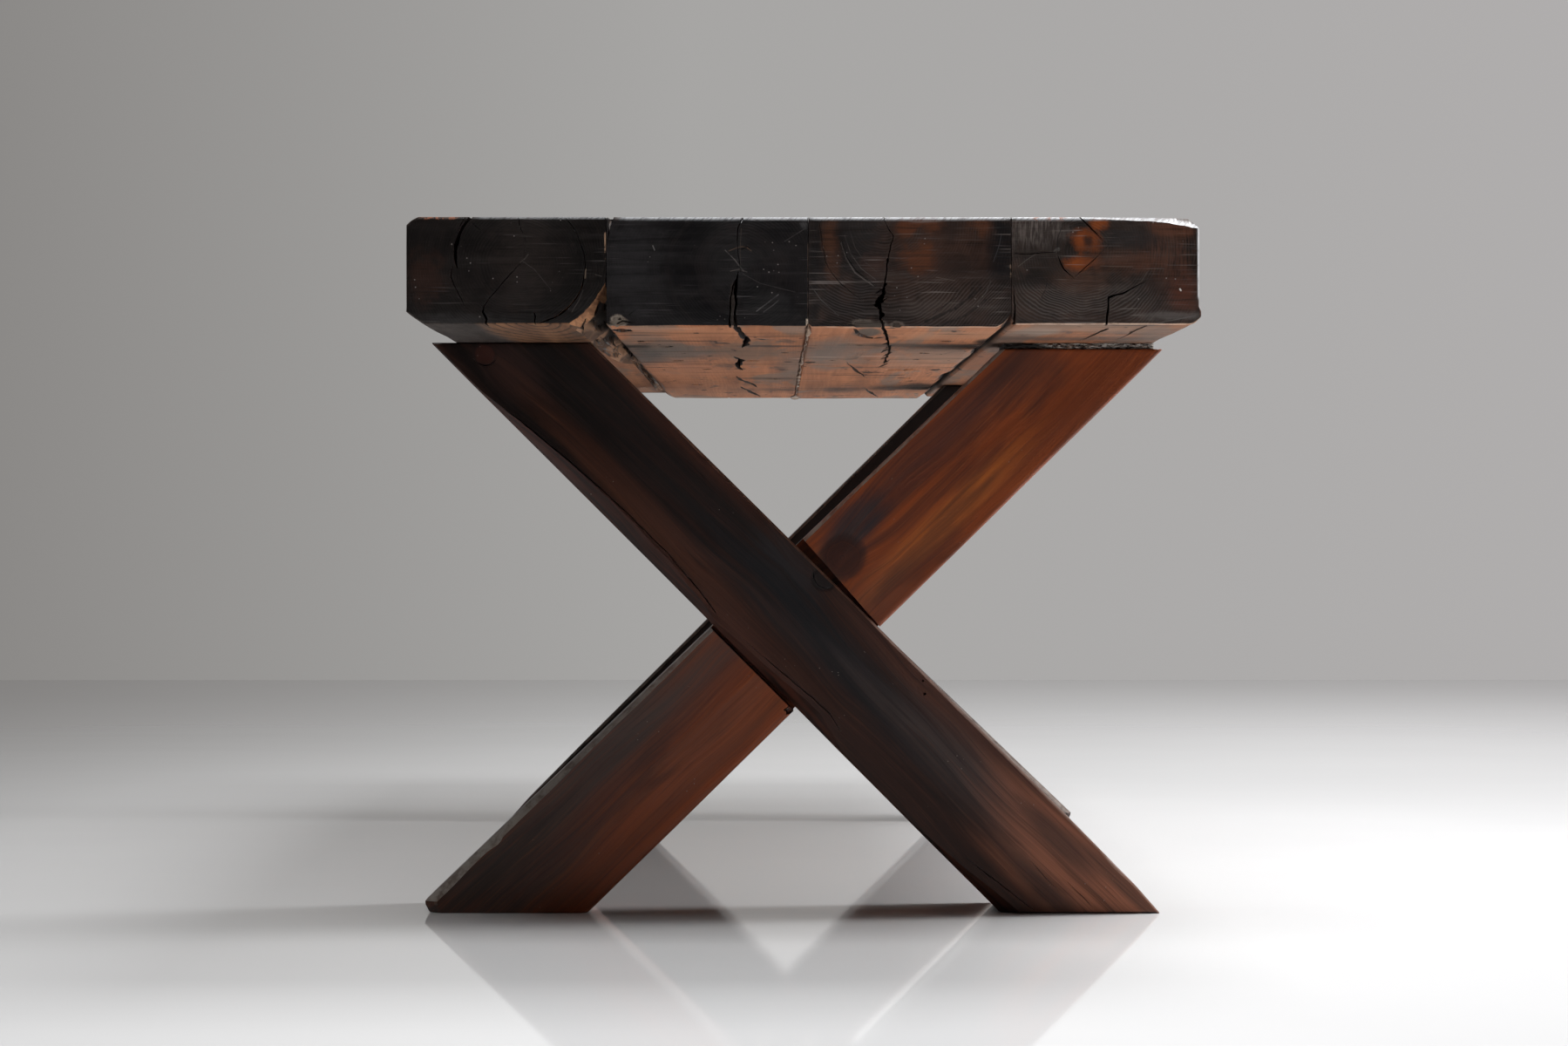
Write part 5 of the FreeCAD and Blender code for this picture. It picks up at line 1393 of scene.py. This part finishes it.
mats = [
    top_timber("stained_left_outer", 0, on_end(600, 301), BLACK1, 0.0, [
        spot_end(487, 318, 20, 26, (0.045, 0.019, 0.0125), 0.5),
        spot_end(600, 300, 34, 44, (0.024, 0.017, 0.0145), 0.6),
        spot_end(520, 367, 46, 7, (0.034, 0.031, 0.030), 0.75),
        spot_end(600, 368, 60, 7, (0.016, 0.014, 0.0135), 0.6),
    ], strokes=[
        *line_end([(600, 300), (613, 309), (632, 332)], 0.7, (0.060, 0.052, 0.048), 0.5),
        *line_end([(597, 301), (602, 297), (606, 292)], 0.9, (0.090, 0.075, 0.066), 0.5),
        *line_end([(672, 309), (671.5, 319)], 1.1, (0.16, 0.115, 0.085), 0.7),
        *line_end([(683, 315), (690, 317)], 0.7, (0.10, 0.085, 0.075), 0.5),
        *line_end([(656, 358), (664, 345), (669, 333)], 0.6, (0.075, 0.065, 0.060), 0.6),
    ], rings=(0.30, (0.026, 0.021, 0.019)), scratch=(0.40, (0.033, 0.028, 0.026)),
        seams=[(EDGE[1] - 0.0010, 0.0012, 0.708, 0.742, (0.30, 0.185, 0.120), 0.9)],
        worn=[(on_end(484, 0)[0], on_end(524, 0)[0])], near_arris_highlight=((on_end(545, 0)[0], on_end(695, 0)[0]), 0.16, 0.24), wane=True),
    top_timber("stained_left_inner", 1, on_end(848, 310), BLACK2, 4.0, [
        spot_end(700, 249, 5, 7, (0.0035, 0.003, 0.003), 0.95, "plain"),
        spot_end(722, 305, 34, 60, (0.026, 0.024, 0.025), 0.65),
        spot_end(838, 300, 26, 40, (0.022, 0.020, 0.020), 0.5),
        spot_end(880, 350, 26, 18, (0.026, 0.024, 0.024), 0.4),
        spot_end(709, 369, 10, 7.5, (0.250, 0.205, 0.165), 0.95, "plain", 0.03),
        spot_end(841, 352, 4, 24, (0.030, 0.022, 0.018), 0.8, "plain", 0.03),
        spot_end(920, 320, 9, 60, (0.012, 0.010, 0.010), 0.6),
        spot_end(922, 257, 4, 5, (0.060, 0.056, 0.056), 0.7),
    ], marks=[
        mark(775, 405, 0.050, 0.17, (0.155, 0.128, 0.108), 0.85),
        mark(742, 411, 0.024, 0.16, (0.090, 0.078, 0.070), 0.8),
        mark(856, 405, 0.036, 0.20, (0.160, 0.118, 0.088), 0.7),
        mark(912, 418, 0.022, 0.30, (0.170, 0.135, 0.110), 0.7),
        # painted shade: the next two marks paint the dark shade band on the underside over the near legs
        mark(725, 397, 0.020, 0.030, (0.040, 0.032, 0.028), 0.85),
        mark(890, 397, 0.040, 0.018, (0.050, 0.036, 0.029), 0.85),
        mark(790, 382, 0.050, 0.10, (0.40, 0.175, 0.090), 0.6),
        mark(800, 424, 0.050, 0.20, (0.40, 0.180, 0.100), 0.55),
        mark(905, 447, 0.060, 0.05, (0.060, 0.045, 0.038), 0.6),
        mark(885, 434, 0.050, 0.035, (0.060, 0.042, 0.034), 0.7),
    ], strokes=[
        *line_end([(832, 287), (843, 298), (853, 311)], 0.8, (0.13, 0.115, 0.108), 0.65),
        *line_end([(836, 288), (846, 284), (853, 283)], 0.7, (0.095, 0.060, 0.042), 0.7),
        *line_end([(850, 283), (857, 284), (862, 288)], 0.7, (0.105, 0.064, 0.044), 0.7),
        *line_end([(838, 311), (848, 309), (857, 312)], 0.7, (0.10, 0.085, 0.076), 0.6),
        *line_end([(850.5, 262), (849, 290), (850, 304)], 0.6, (0.060, 0.045, 0.038), 0.6),
        *line_end([(868, 357), (880, 348), (893, 338)], 1.0, (0.115, 0.108, 0.106), 0.65),
        *line_end([(876, 358), (887, 350), (894, 344)], 0.8, (0.085, 0.080, 0.078), 0.6),
        *line_end([(852, 314), (872, 325), (912, 335)], 0.6, (0.055, 0.048, 0.045), 0.6),
        *line_end([(924, 262), (900, 277)], 0.7, (0.070, 0.062, 0.060), 0.45),
        *line_end([(722, 361), (731, 354)], 0.9, (0.003, 0.003, 0.003), 0.9),
        *line_end([(749, 282), (751, 287)], 0.8, (0.15, 0.14, 0.135), 0.8),
    ], rings=(0.20, (0.022, 0.019, 0.019)), scratch=(0.42, (0.034, 0.030, 0.030)),
        seams=[(EDGE[2] - 0.0006, 0.0005, 0.640, 0.722, (0.13, 0.092, 0.070), 0.5), (EDGE[2] - 0.0012, 0.0018, 0.637, 0.645, (0.55, 0.45, 0.36), 0.9)],
        near_arris_highlight=((EDGE[1] + 0.013, EDGE[2]), 0.30, 0.46)),
    top_timber("stained_right_inner", 2, on_end(1012, 258), BROWN, 8.0, [
        spot_end(970, 300, 46, 60, (0.011, 0.0085, 0.0085), 0.75),
        spot_end(934, 320, 7, 70, (0.006, 0.0055, 0.006), 0.7),
        spot_end(952, 270, 8, 26, (0.080, 0.030, 0.014), 0.7),
        spot_end(956, 306, 8, 22, (0.062, 0.026, 0.015), 0.65),
        spot_end(972, 332, 9, 16, (0.045, 0.023, 0.016), 0.5),
        spot_end(990, 270, 20, 26, (0.020, 0.018, 0.0175), 0.6),
        spot_end(1003, 304, 13, 14, (0.060, 0.030, 0.022), 0.5),
        spot_end(1085, 285, 56, 38, (0.050, 0.022, 0.0140), 0.55),
        spot_end(1100, 305, 22, 14, (0.0135, 0.0095, 0.0085), 0.60),
        spot_end(1090, 262, 10, 16, (0.0125, 0.0090, 0.0085), 0.55),
        spot_end(1042, 260, 12, 10, (0.115, 0.034, 0.0125), 0.65),
        spot_end(1068, 258, 12, 9, (0.110, 0.034, 0.0130), 0.6),
        spot_end(1126, 259, 12, 10, (0.100, 0.033, 0.0135), 0.6),
        spot_end(1054, 296, 17, 16, (0.110, 0.034, 0.0125), 0.7),
        spot_end(1149, 287, 13, 42, (0.0045, 0.0045, 0.0055), 0.95),
        spot_end(1075, 348, 46, 24, (0.082, 0.062, 0.053), 0.60, "ring"),
        spot_end(1140, 348, 18, 24, (0.072, 0.056, 0.049), 0.55, "ring"),
        spot_end(975, 345, 30, 24, (0.060, 0.050, 0.046), 0.5, "ring"),
        spot_end(995, 373, 20, 6, (0.125, 0.100, 0.082), 0.92, "plain", 0.012),
        spot_end(1029, 373, 7, 5, (0.110, 0.085, 0.070), 0.9, "plain", 0.012),
    ], marks=[
        mark(996, 381, 0.0150, 0.085, (0.098, 0.078, 0.063), 0.95, True),
        mark(962, 404, 0.042, 0.26, (0.215, 0.168, 0.135), 0.7),
        # painted shade: the next four marks paint the shade band over the near legs, near-black at the leg top
        mark(1146, 391, 0.026, 0.075, (0.011, 0.009, 0.0085), 0.95, True),
        mark(1110, 396, 0.034, 0.050, PAINTED_LEG_SHADE, 0.92),
        mark(1075, 396, 0.050, 0.040, (0.050, 0.037, 0.030), 0.85),
        mark(1030, 395, 0.050, 0.030, (0.095, 0.070, 0.055), 0.6),
        mark(1090, 384, 0.050, 0.08, (0.37, 0.190, 0.110), 0.6),
        mark(1060, 412, 0.055, 0.20, (0.34, 0.190, 0.122), 0.6),
        mark(948, 404, 0.016, 0.25, (0.165, 0.140, 0.120), 0.6),
        # painted shade: the next two marks paint the shade band on the underside over the far legs
        mark(1055, 442, 0.030, 0.10, PAINTED_LEG_SHADE, 0.9),
        mark(1030, 444, 0.040, 0.08, (0.060, 0.045, 0.036), 0.7),
        mark(963, 447, 0.030, 0.08, (0.060, 0.048, 0.042), 0.7),
    ], strokes=[
        *line_end([(965, 279), (971, 297), (981, 313), (1002, 328)], 0.9, (0.105, 0.088, 0.080), 0.75),
        *line_end([(969, 270), (976, 291), (988, 308), (1005, 321)], 0.7, (0.080, 0.066, 0.060), 0.65),
        *line_end([(974, 262), (981, 284), (992, 300), (1006, 312)], 0.6, (0.060, 0.048, 0.043), 0.5),
        *line_end([(929, 326), (942, 344), (962, 362)], 0.7, (0.085, 0.078, 0.074), 0.65),
        *line_end([(1137, 322), (1131, 336), (1122, 347)], 0.7, (0.080, 0.070, 0.064), 0.6),
        *line_end([(1120, 335), (1096, 354), (1062, 369)], 2.4, (0.008, 0.007, 0.007), 0.75),
        *line_end([(1131, 344), (1108, 362), (1080, 373)], 1.8, (0.010, 0.009, 0.009), 0.6),
        *line_end([(1140, 300), (1147, 280), (1149, 268)], 0.6, (0.050, 0.048, 0.050), 0.6),
        *line_end([(1074, 318), (1096, 322)], 0.6, (0.110, 0.085, 0.072), 0.6),
    ], rings=(0.30, (0.072, 0.056, 0.049)), scratch=(0.56, (0.096, 0.080, 0.073)),
        seams=[(EDGE[3] - 0.001, 0.0016, 0.689, 0.700, (0.34, 0.23, 0.155), 0.95)],
        near_arris_highlight=((EDGE[2], EDGE[3]), 0.44, 0.48), bare_tone=0.96),
    top_timber("stained_right_outer", 3, on_end(1244, 288), GREY, 12.0, [
        spot_end(1192, 267, 28, 18, (0.135, 0.110, 0.099), 0.78, "upright"),
        spot_end(1206, 305, 34, 34, (0.016, 0.0115, 0.010), 0.6),
        spot_end(1190, 322, 22, 8, (0.007, 0.006, 0.006), 0.6),
        spot_end(1340, 285, 30, 44, (0.090, 0.038, 0.025), 0.6, "upright"),
        spot_end(1350, 330, 26, 24, (0.055, 0.023, 0.0155), 0.55),
        spot_end(1300, 272, 36, 13, (0.0165, 0.0160, 0.0170), 0.72),
        spot_end(1296, 300, 44, 11, (0.090, 0.036, 0.021), 0.60),
        spot_end(1345, 262, 24, 10, (0.125, 0.046, 0.024), 0.60),
        spot_end(1357, 338, 13, 20, (0.110, 0.034, 0.019), 0.60),
        spot_end(1318, 336, 18, 18, (0.014, 0.0105, 0.0095), 0.60),
        spot_end(1215, 340, 20, 12, (0.0105, 0.0085, 0.0080), 0.55),
        spot_end(1246, 275, 14, 11, ORANGE, 0.95, "soft"),
        spot_end(1237, 302, 14, 7.5, ORANGE, 0.95, "soft"),
        spot_end(1260, 257, 9, 7, ORANGE, 0.8, "soft"),
        spot_end(1250, 288, 14, 22, (0.090, 0.030, 0.014), 0.5),
        spot_end(1249, 277, 5, 7, (0.02, 0.012, 0.010), 0.85, "soft"),
        spot_end(1240, 322, 30, 16, (0.095, 0.045, 0.028), 0.5),
        spot_end(1205, 346, 40, 18, (0.098, 0.080, 0.072), 0.62, "ring"),
        spot_end(1290, 348, 44, 18, (0.090, 0.074, 0.067), 0.58, "ring"),
        spot_end(1345, 362, 34, 5, (0.12, 0.105, 0.098), 0.7, "level"),
    ], marks=[
        mark(1240, 378, 0.080, 0.05, (0.29, 0.158, 0.096), 0.5, False, 0.640),
        # painted shade: a dark line on the underside just in front of the packer
        mark(1240, 389, 0.120, 0.03, (0.070, 0.050, 0.040), 0.8, False, 0.640),
        mark(1190, 381, 0.030, 0.06, (0.26, 0.205, 0.165), 0.6, False, 0.640),
    ], strokes=[
        *line_end([(1168, 306), (1178, 298), (1189, 291)], 0.7, (0.095, 0.080, 0.072), 0.6),
        *line_end([(1211, 288), (1214, 286)], 3.0, (0.10, 0.090, 0.082), 0.8),
        *line_end([(1219, 258), (1214, 272), (1213, 286)], 0.7, (0.012, 0.010, 0.010), 0.8),
        *line_end([(1263, 290), (1272, 281), (1262, 272)], 0.7, (0.012, 0.010, 0.010), 0.7),
        *line_end([(1262, 305), (1300, 306)], 0.6, (0.105, 0.080, 0.066), 0.6),
        *line_end([(1300, 330), (1310, 322), (1316, 312)], 0.6, (0.085, 0.068, 0.058), 0.5),
        *line_end([(1354, 331.5), (1355, 333.0)], 1.3, (0.62, 0.58, 0.54), 0.95),
        *line_end([(1327, 371), (1372, 362)], 0.8, (0.13, 0.118, 0.112), 0.6),
    ], rings=(0.32, (0.080, 0.063, 0.056)), scratch=(0.56, (0.098, 0.083, 0.076)),
        worn=[(on_end(1186, 0)[0], on_end(1196, 0)[0]), (on_end(1203, 0)[0], on_end(1222, 0)[0])],
        near_arris_highlight=((EDGE[3], EDGE[4]), 0.48, 0.44), bare_tone=0.65),
]
for ob, mat in zip(beams, mats):
    ob.data.materials.clear()
    ob.data.materials.append(mat)

A45, B45 = -math.radians(45.05), math.radians(44.4)


def local(angle, x, y, z):
    c, s = math.cos(angle), math.sin(angle)
    return (x * c + z * s, y, -x * s + z * c)


def leg_at(angle, px_, py_, y=OUTER):
    x_, z_ = on_leg(px_, py_)
    return local(angle, x_, y, z_)


TONE_A = ((0.0085, 0.0070, 0.0073), (0.028, 0.0140, 0.0110), (0.049, 0.0200, 0.0138), (0.17, 0.060, 0.027))
TONE_B = ((0.024, 0.0150, 0.0135), (0.178, 0.0405, 0.0115), (0.265, 0.0590, 0.0148), (0.46, 0.130, 0.026))
# painted shade: the far through leg is given darker tones than the near legs
TONE_FAR_SHADED = ((0.0075, 0.0060, 0.0060), (0.026, 0.0125, 0.0095), (0.058, 0.022, 0.0140), (0.17, 0.058, 0.025))

mat_a = leg_timber("stained_near_thru", A45, 2.0, TONE_A, [
    (leg_at(A45, 620, 440), (0.17, 0.3, 0.090), (0.0034, 0.0027, 0.0027), 0.97),
    (leg_at(A45, 589, 424), (0.040, 0.3, 0.022), (0.046, 0.022, 0.018), 0.7),
    (leg_at(A45, 800, 560), (0.20, 0.3, 0.040), (0.0105, 0.0086, 0.0086), 0.88),
    (leg_at(A45, 775, 495), (0.17, 0.3, 0.011), (0.060, 0.021, 0.0125), 0.7),
    (leg_at(A45, 700, 545), (0.15, 0.3, 0.014), (0.070, 0.025, 0.0135), 0.6),
    (leg_at(A45, 765, 620), (0.12, 0.3, 0.012), (0.080, 0.030, 0.017), 0.55),
    (leg_at(A45, 905, 650), (0.045, 0.3, 0.024), (0.028, 0.029, 0.032), 0.65),
    (leg_at(A45, 850, 735), (0.11, 0.3, 0.016), (0.085, 0.034, 0.023), 0.65),
    (leg_at(A45, 1000, 790), (0.22, 0.3, 0.026), (0.0150, 0.0150, 0.0172), 0.9),
    (leg_at(A45, 1110, 830), (0.16, 0.3, 0.020), (0.120, 0.050, 0.034), 0.6),
    (leg_at(A45, 1130, 910), (0.14, 0.3, 0.024), (0.080, 0.056, 0.051), 0.85),
    (leg_at(A45, 1250, 1020), (0.13, 0.3, 0.052), (0.430, 0.160, 0.088), 0.8),
    (leg_at(A45, 1200, 1020), (0.06, 0.3, 0.010), (0.040, 0.027, 0.024), 0.75),
    (leg_at(A45, 1215, 965), (0.05, 0.3, 0.012), (0.026, 0.020, 0.020), 0.75),
    (leg_at(A45, 1285, 1010), (0.06, 0.3, 0.008), (0.050, 0.032, 0.027), 0.6),
], [(leg_at(A45, 945, 664), 0.0115, (0.013, 0.0105, 0.0105), 1.0), (leg_at(A45, 556, 407), 0.0115, (0.042, 0.0135, 0.0095), 0.35)],
    swirls=[(leg_at(A45, 903, 648), 0.010)], upper_arris_wear_and_highlight=(0.155, 0.085, 0.062), lacquer=0.20, grain=0.72, waney=((0.0130, 0.0062, 0.0052), (0.058, 0.0170, 0.0100)))
mat_b = leg_timber("stained_near_lap", B45, 9.0, TONE_B, [
    (leg_at(B45, 1062, 520), (0.15, 0.3, 0.020), (0.060, 0.026, 0.022), 0.75),
    (leg_at(B45, 1075, 605), (0.12, 0.3, 0.014), (0.52, 0.145, 0.024), 0.7),
    (leg_at(B45, 1185, 415), (0.05, 0.3, 0.030), (0.050, 0.021, 0.015), 0.7),
    (leg_at(B45, 1260, 440), (0.10, 0.3, 0.035), (0.150, 0.036, 0.014), 0.55),
    (leg_at(B45, 978, 602), (0.036, 0.3, 0.024), (0.027, 0.025, 0.030), 0.95),
    (leg_at(B45, 1000, 690), (0.06, 0.3, 0.022), (0.150, 0.060, 0.038), 0.55),
    (leg_at(B45, 688, 875), (0.28, 0.3, 0.032), (0.062, 0.050, 0.0460), 0.92),
    (leg_at(B45, 580, 1010), (0.12, 0.3, 0.048), (0.072, 0.045, 0.0370), 0.9),
    (leg_at(B45, 528, 1018), (0.10, 0.3, 0.032), (0.034, 0.0235, 0.0200), 0.85),
    (leg_at(B45, 740, 870), (0.24, 0.3, 0.014), (0.070, 0.030, 0.023), 0.6),
    (leg_at(B45, 820, 850), (0.12, 0.3, 0.022), (0.24, 0.078, 0.040), 0.6),
    (leg_at(B45, 655, 1010), (0.07, 0.3, 0.016), (0.16, 0.055, 0.030), 0.45),
# painted shade: the inner face of the near lapped leg is darkened
], [(leg_at(B45, 967, 640), 0.0225, (0.0300, 0.0120, 0.0095), 0.45)], upper_arris_wear_and_highlight=(0.36, 0.325, 0.29), flank=0.48, inner=0.62, grain=0.66)
# painted shade: the far through leg's inner face is darkened nearly to black
mat_c = leg_timber("stained_far_thru_painted_shade", B45, 5.0, TONE_FAR_SHADED, [], [((0.15, 0.65, 0.22), 0.014, (0.014, 0.0085, 0.0070), 0.6)], front=1.0, upper_arris_wear_and_highlight=(0.14, 0.115, 0.10), lacquer=0.22, inner=0.10)
mat_d = leg_timber("stained_far_lap", A45, 14.0, TONE_A, [], [((0.10, 0.644, 0.24), 0.016, (0.020, 0.013, 0.011), 0.6)], front=1.0)
# the far frame is turned half round, so its through leg leans the other way
near_thru.data.materials.clear(); near_thru.data.materials.append(mat_a)
near_lap.data.materials.clear(); near_lap.data.materials.append(mat_b)
far_thru.data.materials.clear(); far_thru.data.materials.append(mat_c)
far_lap.data.materials.clear(); far_lap.data.materials.append(mat_d)
filler.data.materials.clear(); filler.data.materials.append(filler_look())

wood_peg, rough_pack, zinc = dowel_look(), packing_look(), steel_look()

# ------------------------------------------------------------------ pieces and the nodes they stand for
for ob, node in zip(beams, ("top_beam_left_outer", "top_beam_left_inner", "top_beam_right_inner", "top_beam_right_outer")):
    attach(ob, "root")
    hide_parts(node)
for ob, node in zip(legs, ("near_leg_through", "near_leg_lapped", "far_leg_through", "far_leg_lapped")):
    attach(ob, "root")
    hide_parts(node)
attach(filler, "root")
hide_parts("centre_joint_filler")
for ob, node in ((near_pack, "near_packer"), (far_pack, "far_packer")):
    ob.data.materials.clear()
    ob.data.materials.append(rough_pack)
    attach(ob, "root")
    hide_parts(node)

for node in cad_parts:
    ob = bpy.data.objects.get(node)
    if ob is None or ob.type != "MESH":
        continue
    look = wood_peg if "dowel" in node else rough_pack if "packer" in node else zinc if ("screw" in node or "washer" in node) else None
    if look is not None:
        for s in range(max(1, len(ob.material_slots))):
            if len(ob.material_slots) == 0:
                ob.data.materials.append(look)
            else:
                ob.material_slots[s].material = look

# ------------------------------------------------------------------ floor, light and camera
far_edge = 5.09
floor = mesh_object("floor", [(-14, -14, 0), (14, -14, 0), (14, far_edge, 0), (-14, far_edge, 0)], [(0, 1, 2, 3)])
fn = Net("pale_floor")
fp = fn.coords()
fx_, fy_, fz_ = fn.sep(fp)
soft = fn.noise(fp, 1.3, 3.0, 0.5)
sweep = fn.noise(fn.xyz(fn.math("MULTIPLY", fx_, 1.2), fn.math("MULTIPLY", fy_, 16.0), 0.0), 1.0, 3.0, 0.6)
fn.put(fn.bsdf.inputs["Base Color"], fn.mix(fn.span(soft, 0.3, 0.7), (0.805, 0.81, 0.82), (0.835, 0.84, 0.85)))
fn.put(fn.bsdf.inputs["Roughness"], fn.span(sweep, 0.3, 0.7, 0.028, 0.050))
fn.bsdf.inputs["Specular IOR Level"].default_value = 0.5
floor.data.materials.append(fn.mat)

world = bpy.data.worlds.new("studio")
bpy.context.scene.world = world
world.use_nodes = True
wn = world.node_tree.nodes
wl = world.node_tree.links
wn.clear()
w_out = wn.new("ShaderNodeOutputWorld")
w_bg = wn.new("ShaderNodeBackground")
w_tc = wn.new("ShaderNodeTexCoord")
w_sep = wn.new("ShaderNodeSeparateXYZ")
w_ramp = wn.new("ShaderNodeValToRGB")
wl.new(w_tc.outputs["Generated"], w_sep.inputs[0])


def w_span(socket, lo, hi, a, b):
    m = wn.new("ShaderNodeMapRange")
    m.interpolation_type = "SMOOTHSTEP"
    wl.new(socket, m.inputs["Value"])
    m.inputs["From Min"].default_value = lo
    m.inputs["From Max"].default_value = hi
    m.inputs["To Min"].default_value = a
    m.inputs["To Max"].default_value = b
    return m.outputs[0]


def w_times(p, q):
    m = wn.new("ShaderNodeMath")
    m.operation = "MULTIPLY"
    wl.new(p, m.inputs[0])
    wl.new(q, m.inputs[1])
    return m.outputs[0]


# grey wall, lighter to the right; dim towards the front and overhead
w_lin = wn.new("ShaderNodeMapRange")
wl.new(w_sep.outputs[0], w_lin.inputs["Value"])
w_lin.inputs["From Min"].default_value = -0.24
w_lin.inputs["From Max"].default_value = 0.24
wl.new(w_lin.outputs[0], w_ramp.inputs[0])
el = w_ramp.color_ramp.elements
el[0].position, el[0].color = 0.0, (0.245, 0.236, 0.228, 1)
el[1].position, el[1].color = 1.0, (0.435, 0.422, 0.420, 1)
e = el.new(0.45)
e.color = (0.385, 0.378, 0.370, 1)
wl.new(w_ramp.outputs[0], w_bg.inputs[0])
wl.new(w_times(w_span(w_sep.outputs[1], -0.45, 0.10, 0.06, 1.0), w_span(w_sep.outputs[2], 0.20, 0.75, 1.0, 0.30)), w_bg.inputs[1])
wl.new(w_bg.outputs[0], w_out.inputs[0])


def area(name, at, aim, size, power, spread=180.0, colour=(1, 1, 1)):
    data = bpy.data.lights.new(name, "AREA")
    data.shape = "RECTANGLE"
    data.size, data.size_y = size
    data.energy = power
    data.color = colour
    data.spread = math.radians(spread)
    ob = bpy.data.objects.new(name, data)
    ob.location = at
    ob.rotation_mode = "QUATERNION"
    ob.rotation_quaternion = (Vector(aim) - Vector(at)).to_track_quat("-Z", "Y")
    bpy.context.scene.collection.objects.link(ob)
    ob.visible_camera = False
    return ob


area("over", (0.8, 0.0, 2.7), (0.75, 0.0, 0.0), (0.9, 1.2), 70)
area("front_wash", (0.05, -1.85, 3.2), (0.05, -1.80, 0.0), (2.0, 1.2), 35, 110)
area("back_wash", (1.5, 2.0, 3.2), (1.4, 2.0, 0.0), (3.0, 2.0), 62, 110)
area("right_rim", (3.4, 0.2, 1.5), (0.3, -0.4, 0.6), (0.7, 1.6), 22, 70)
# the floor further off, to the left and behind the camera
area("left_floor", (-6.0, 1.5, 3.8), (-6.0, 1.5, 0.0), (4.0, 6.0), 55, 70)
area("right_floor", (4.6, -5.6, 4.0), (4.6, -5.6, 0.0), (7.0, 6.0), 85, 60)

cam_data = bpy.data.cameras.new("photo_camera")
cam = bpy.data.objects.new("photo_camera", cam_data)
bpy.context.scene.collection.objects.link(cam)
cam_data.sensor_width = 36.0
cam_data.lens = FOCAL * 36.0 / 1799.0
cam.location = CAM
yaw = math.atan((899.5 - VPX) / FOCAL)
cam.rotation_euler = (math.radians(90.0), 0.0, -yaw)
bpy.context.scene.camera = cam

view = bpy.context.scene.view_settings
view.view_transform = "Standard"
view.look = "None"

bpy.context.scene.collection.children.unlink(cutter_bin)
bpy.data.collections.remove(cutter_bin)
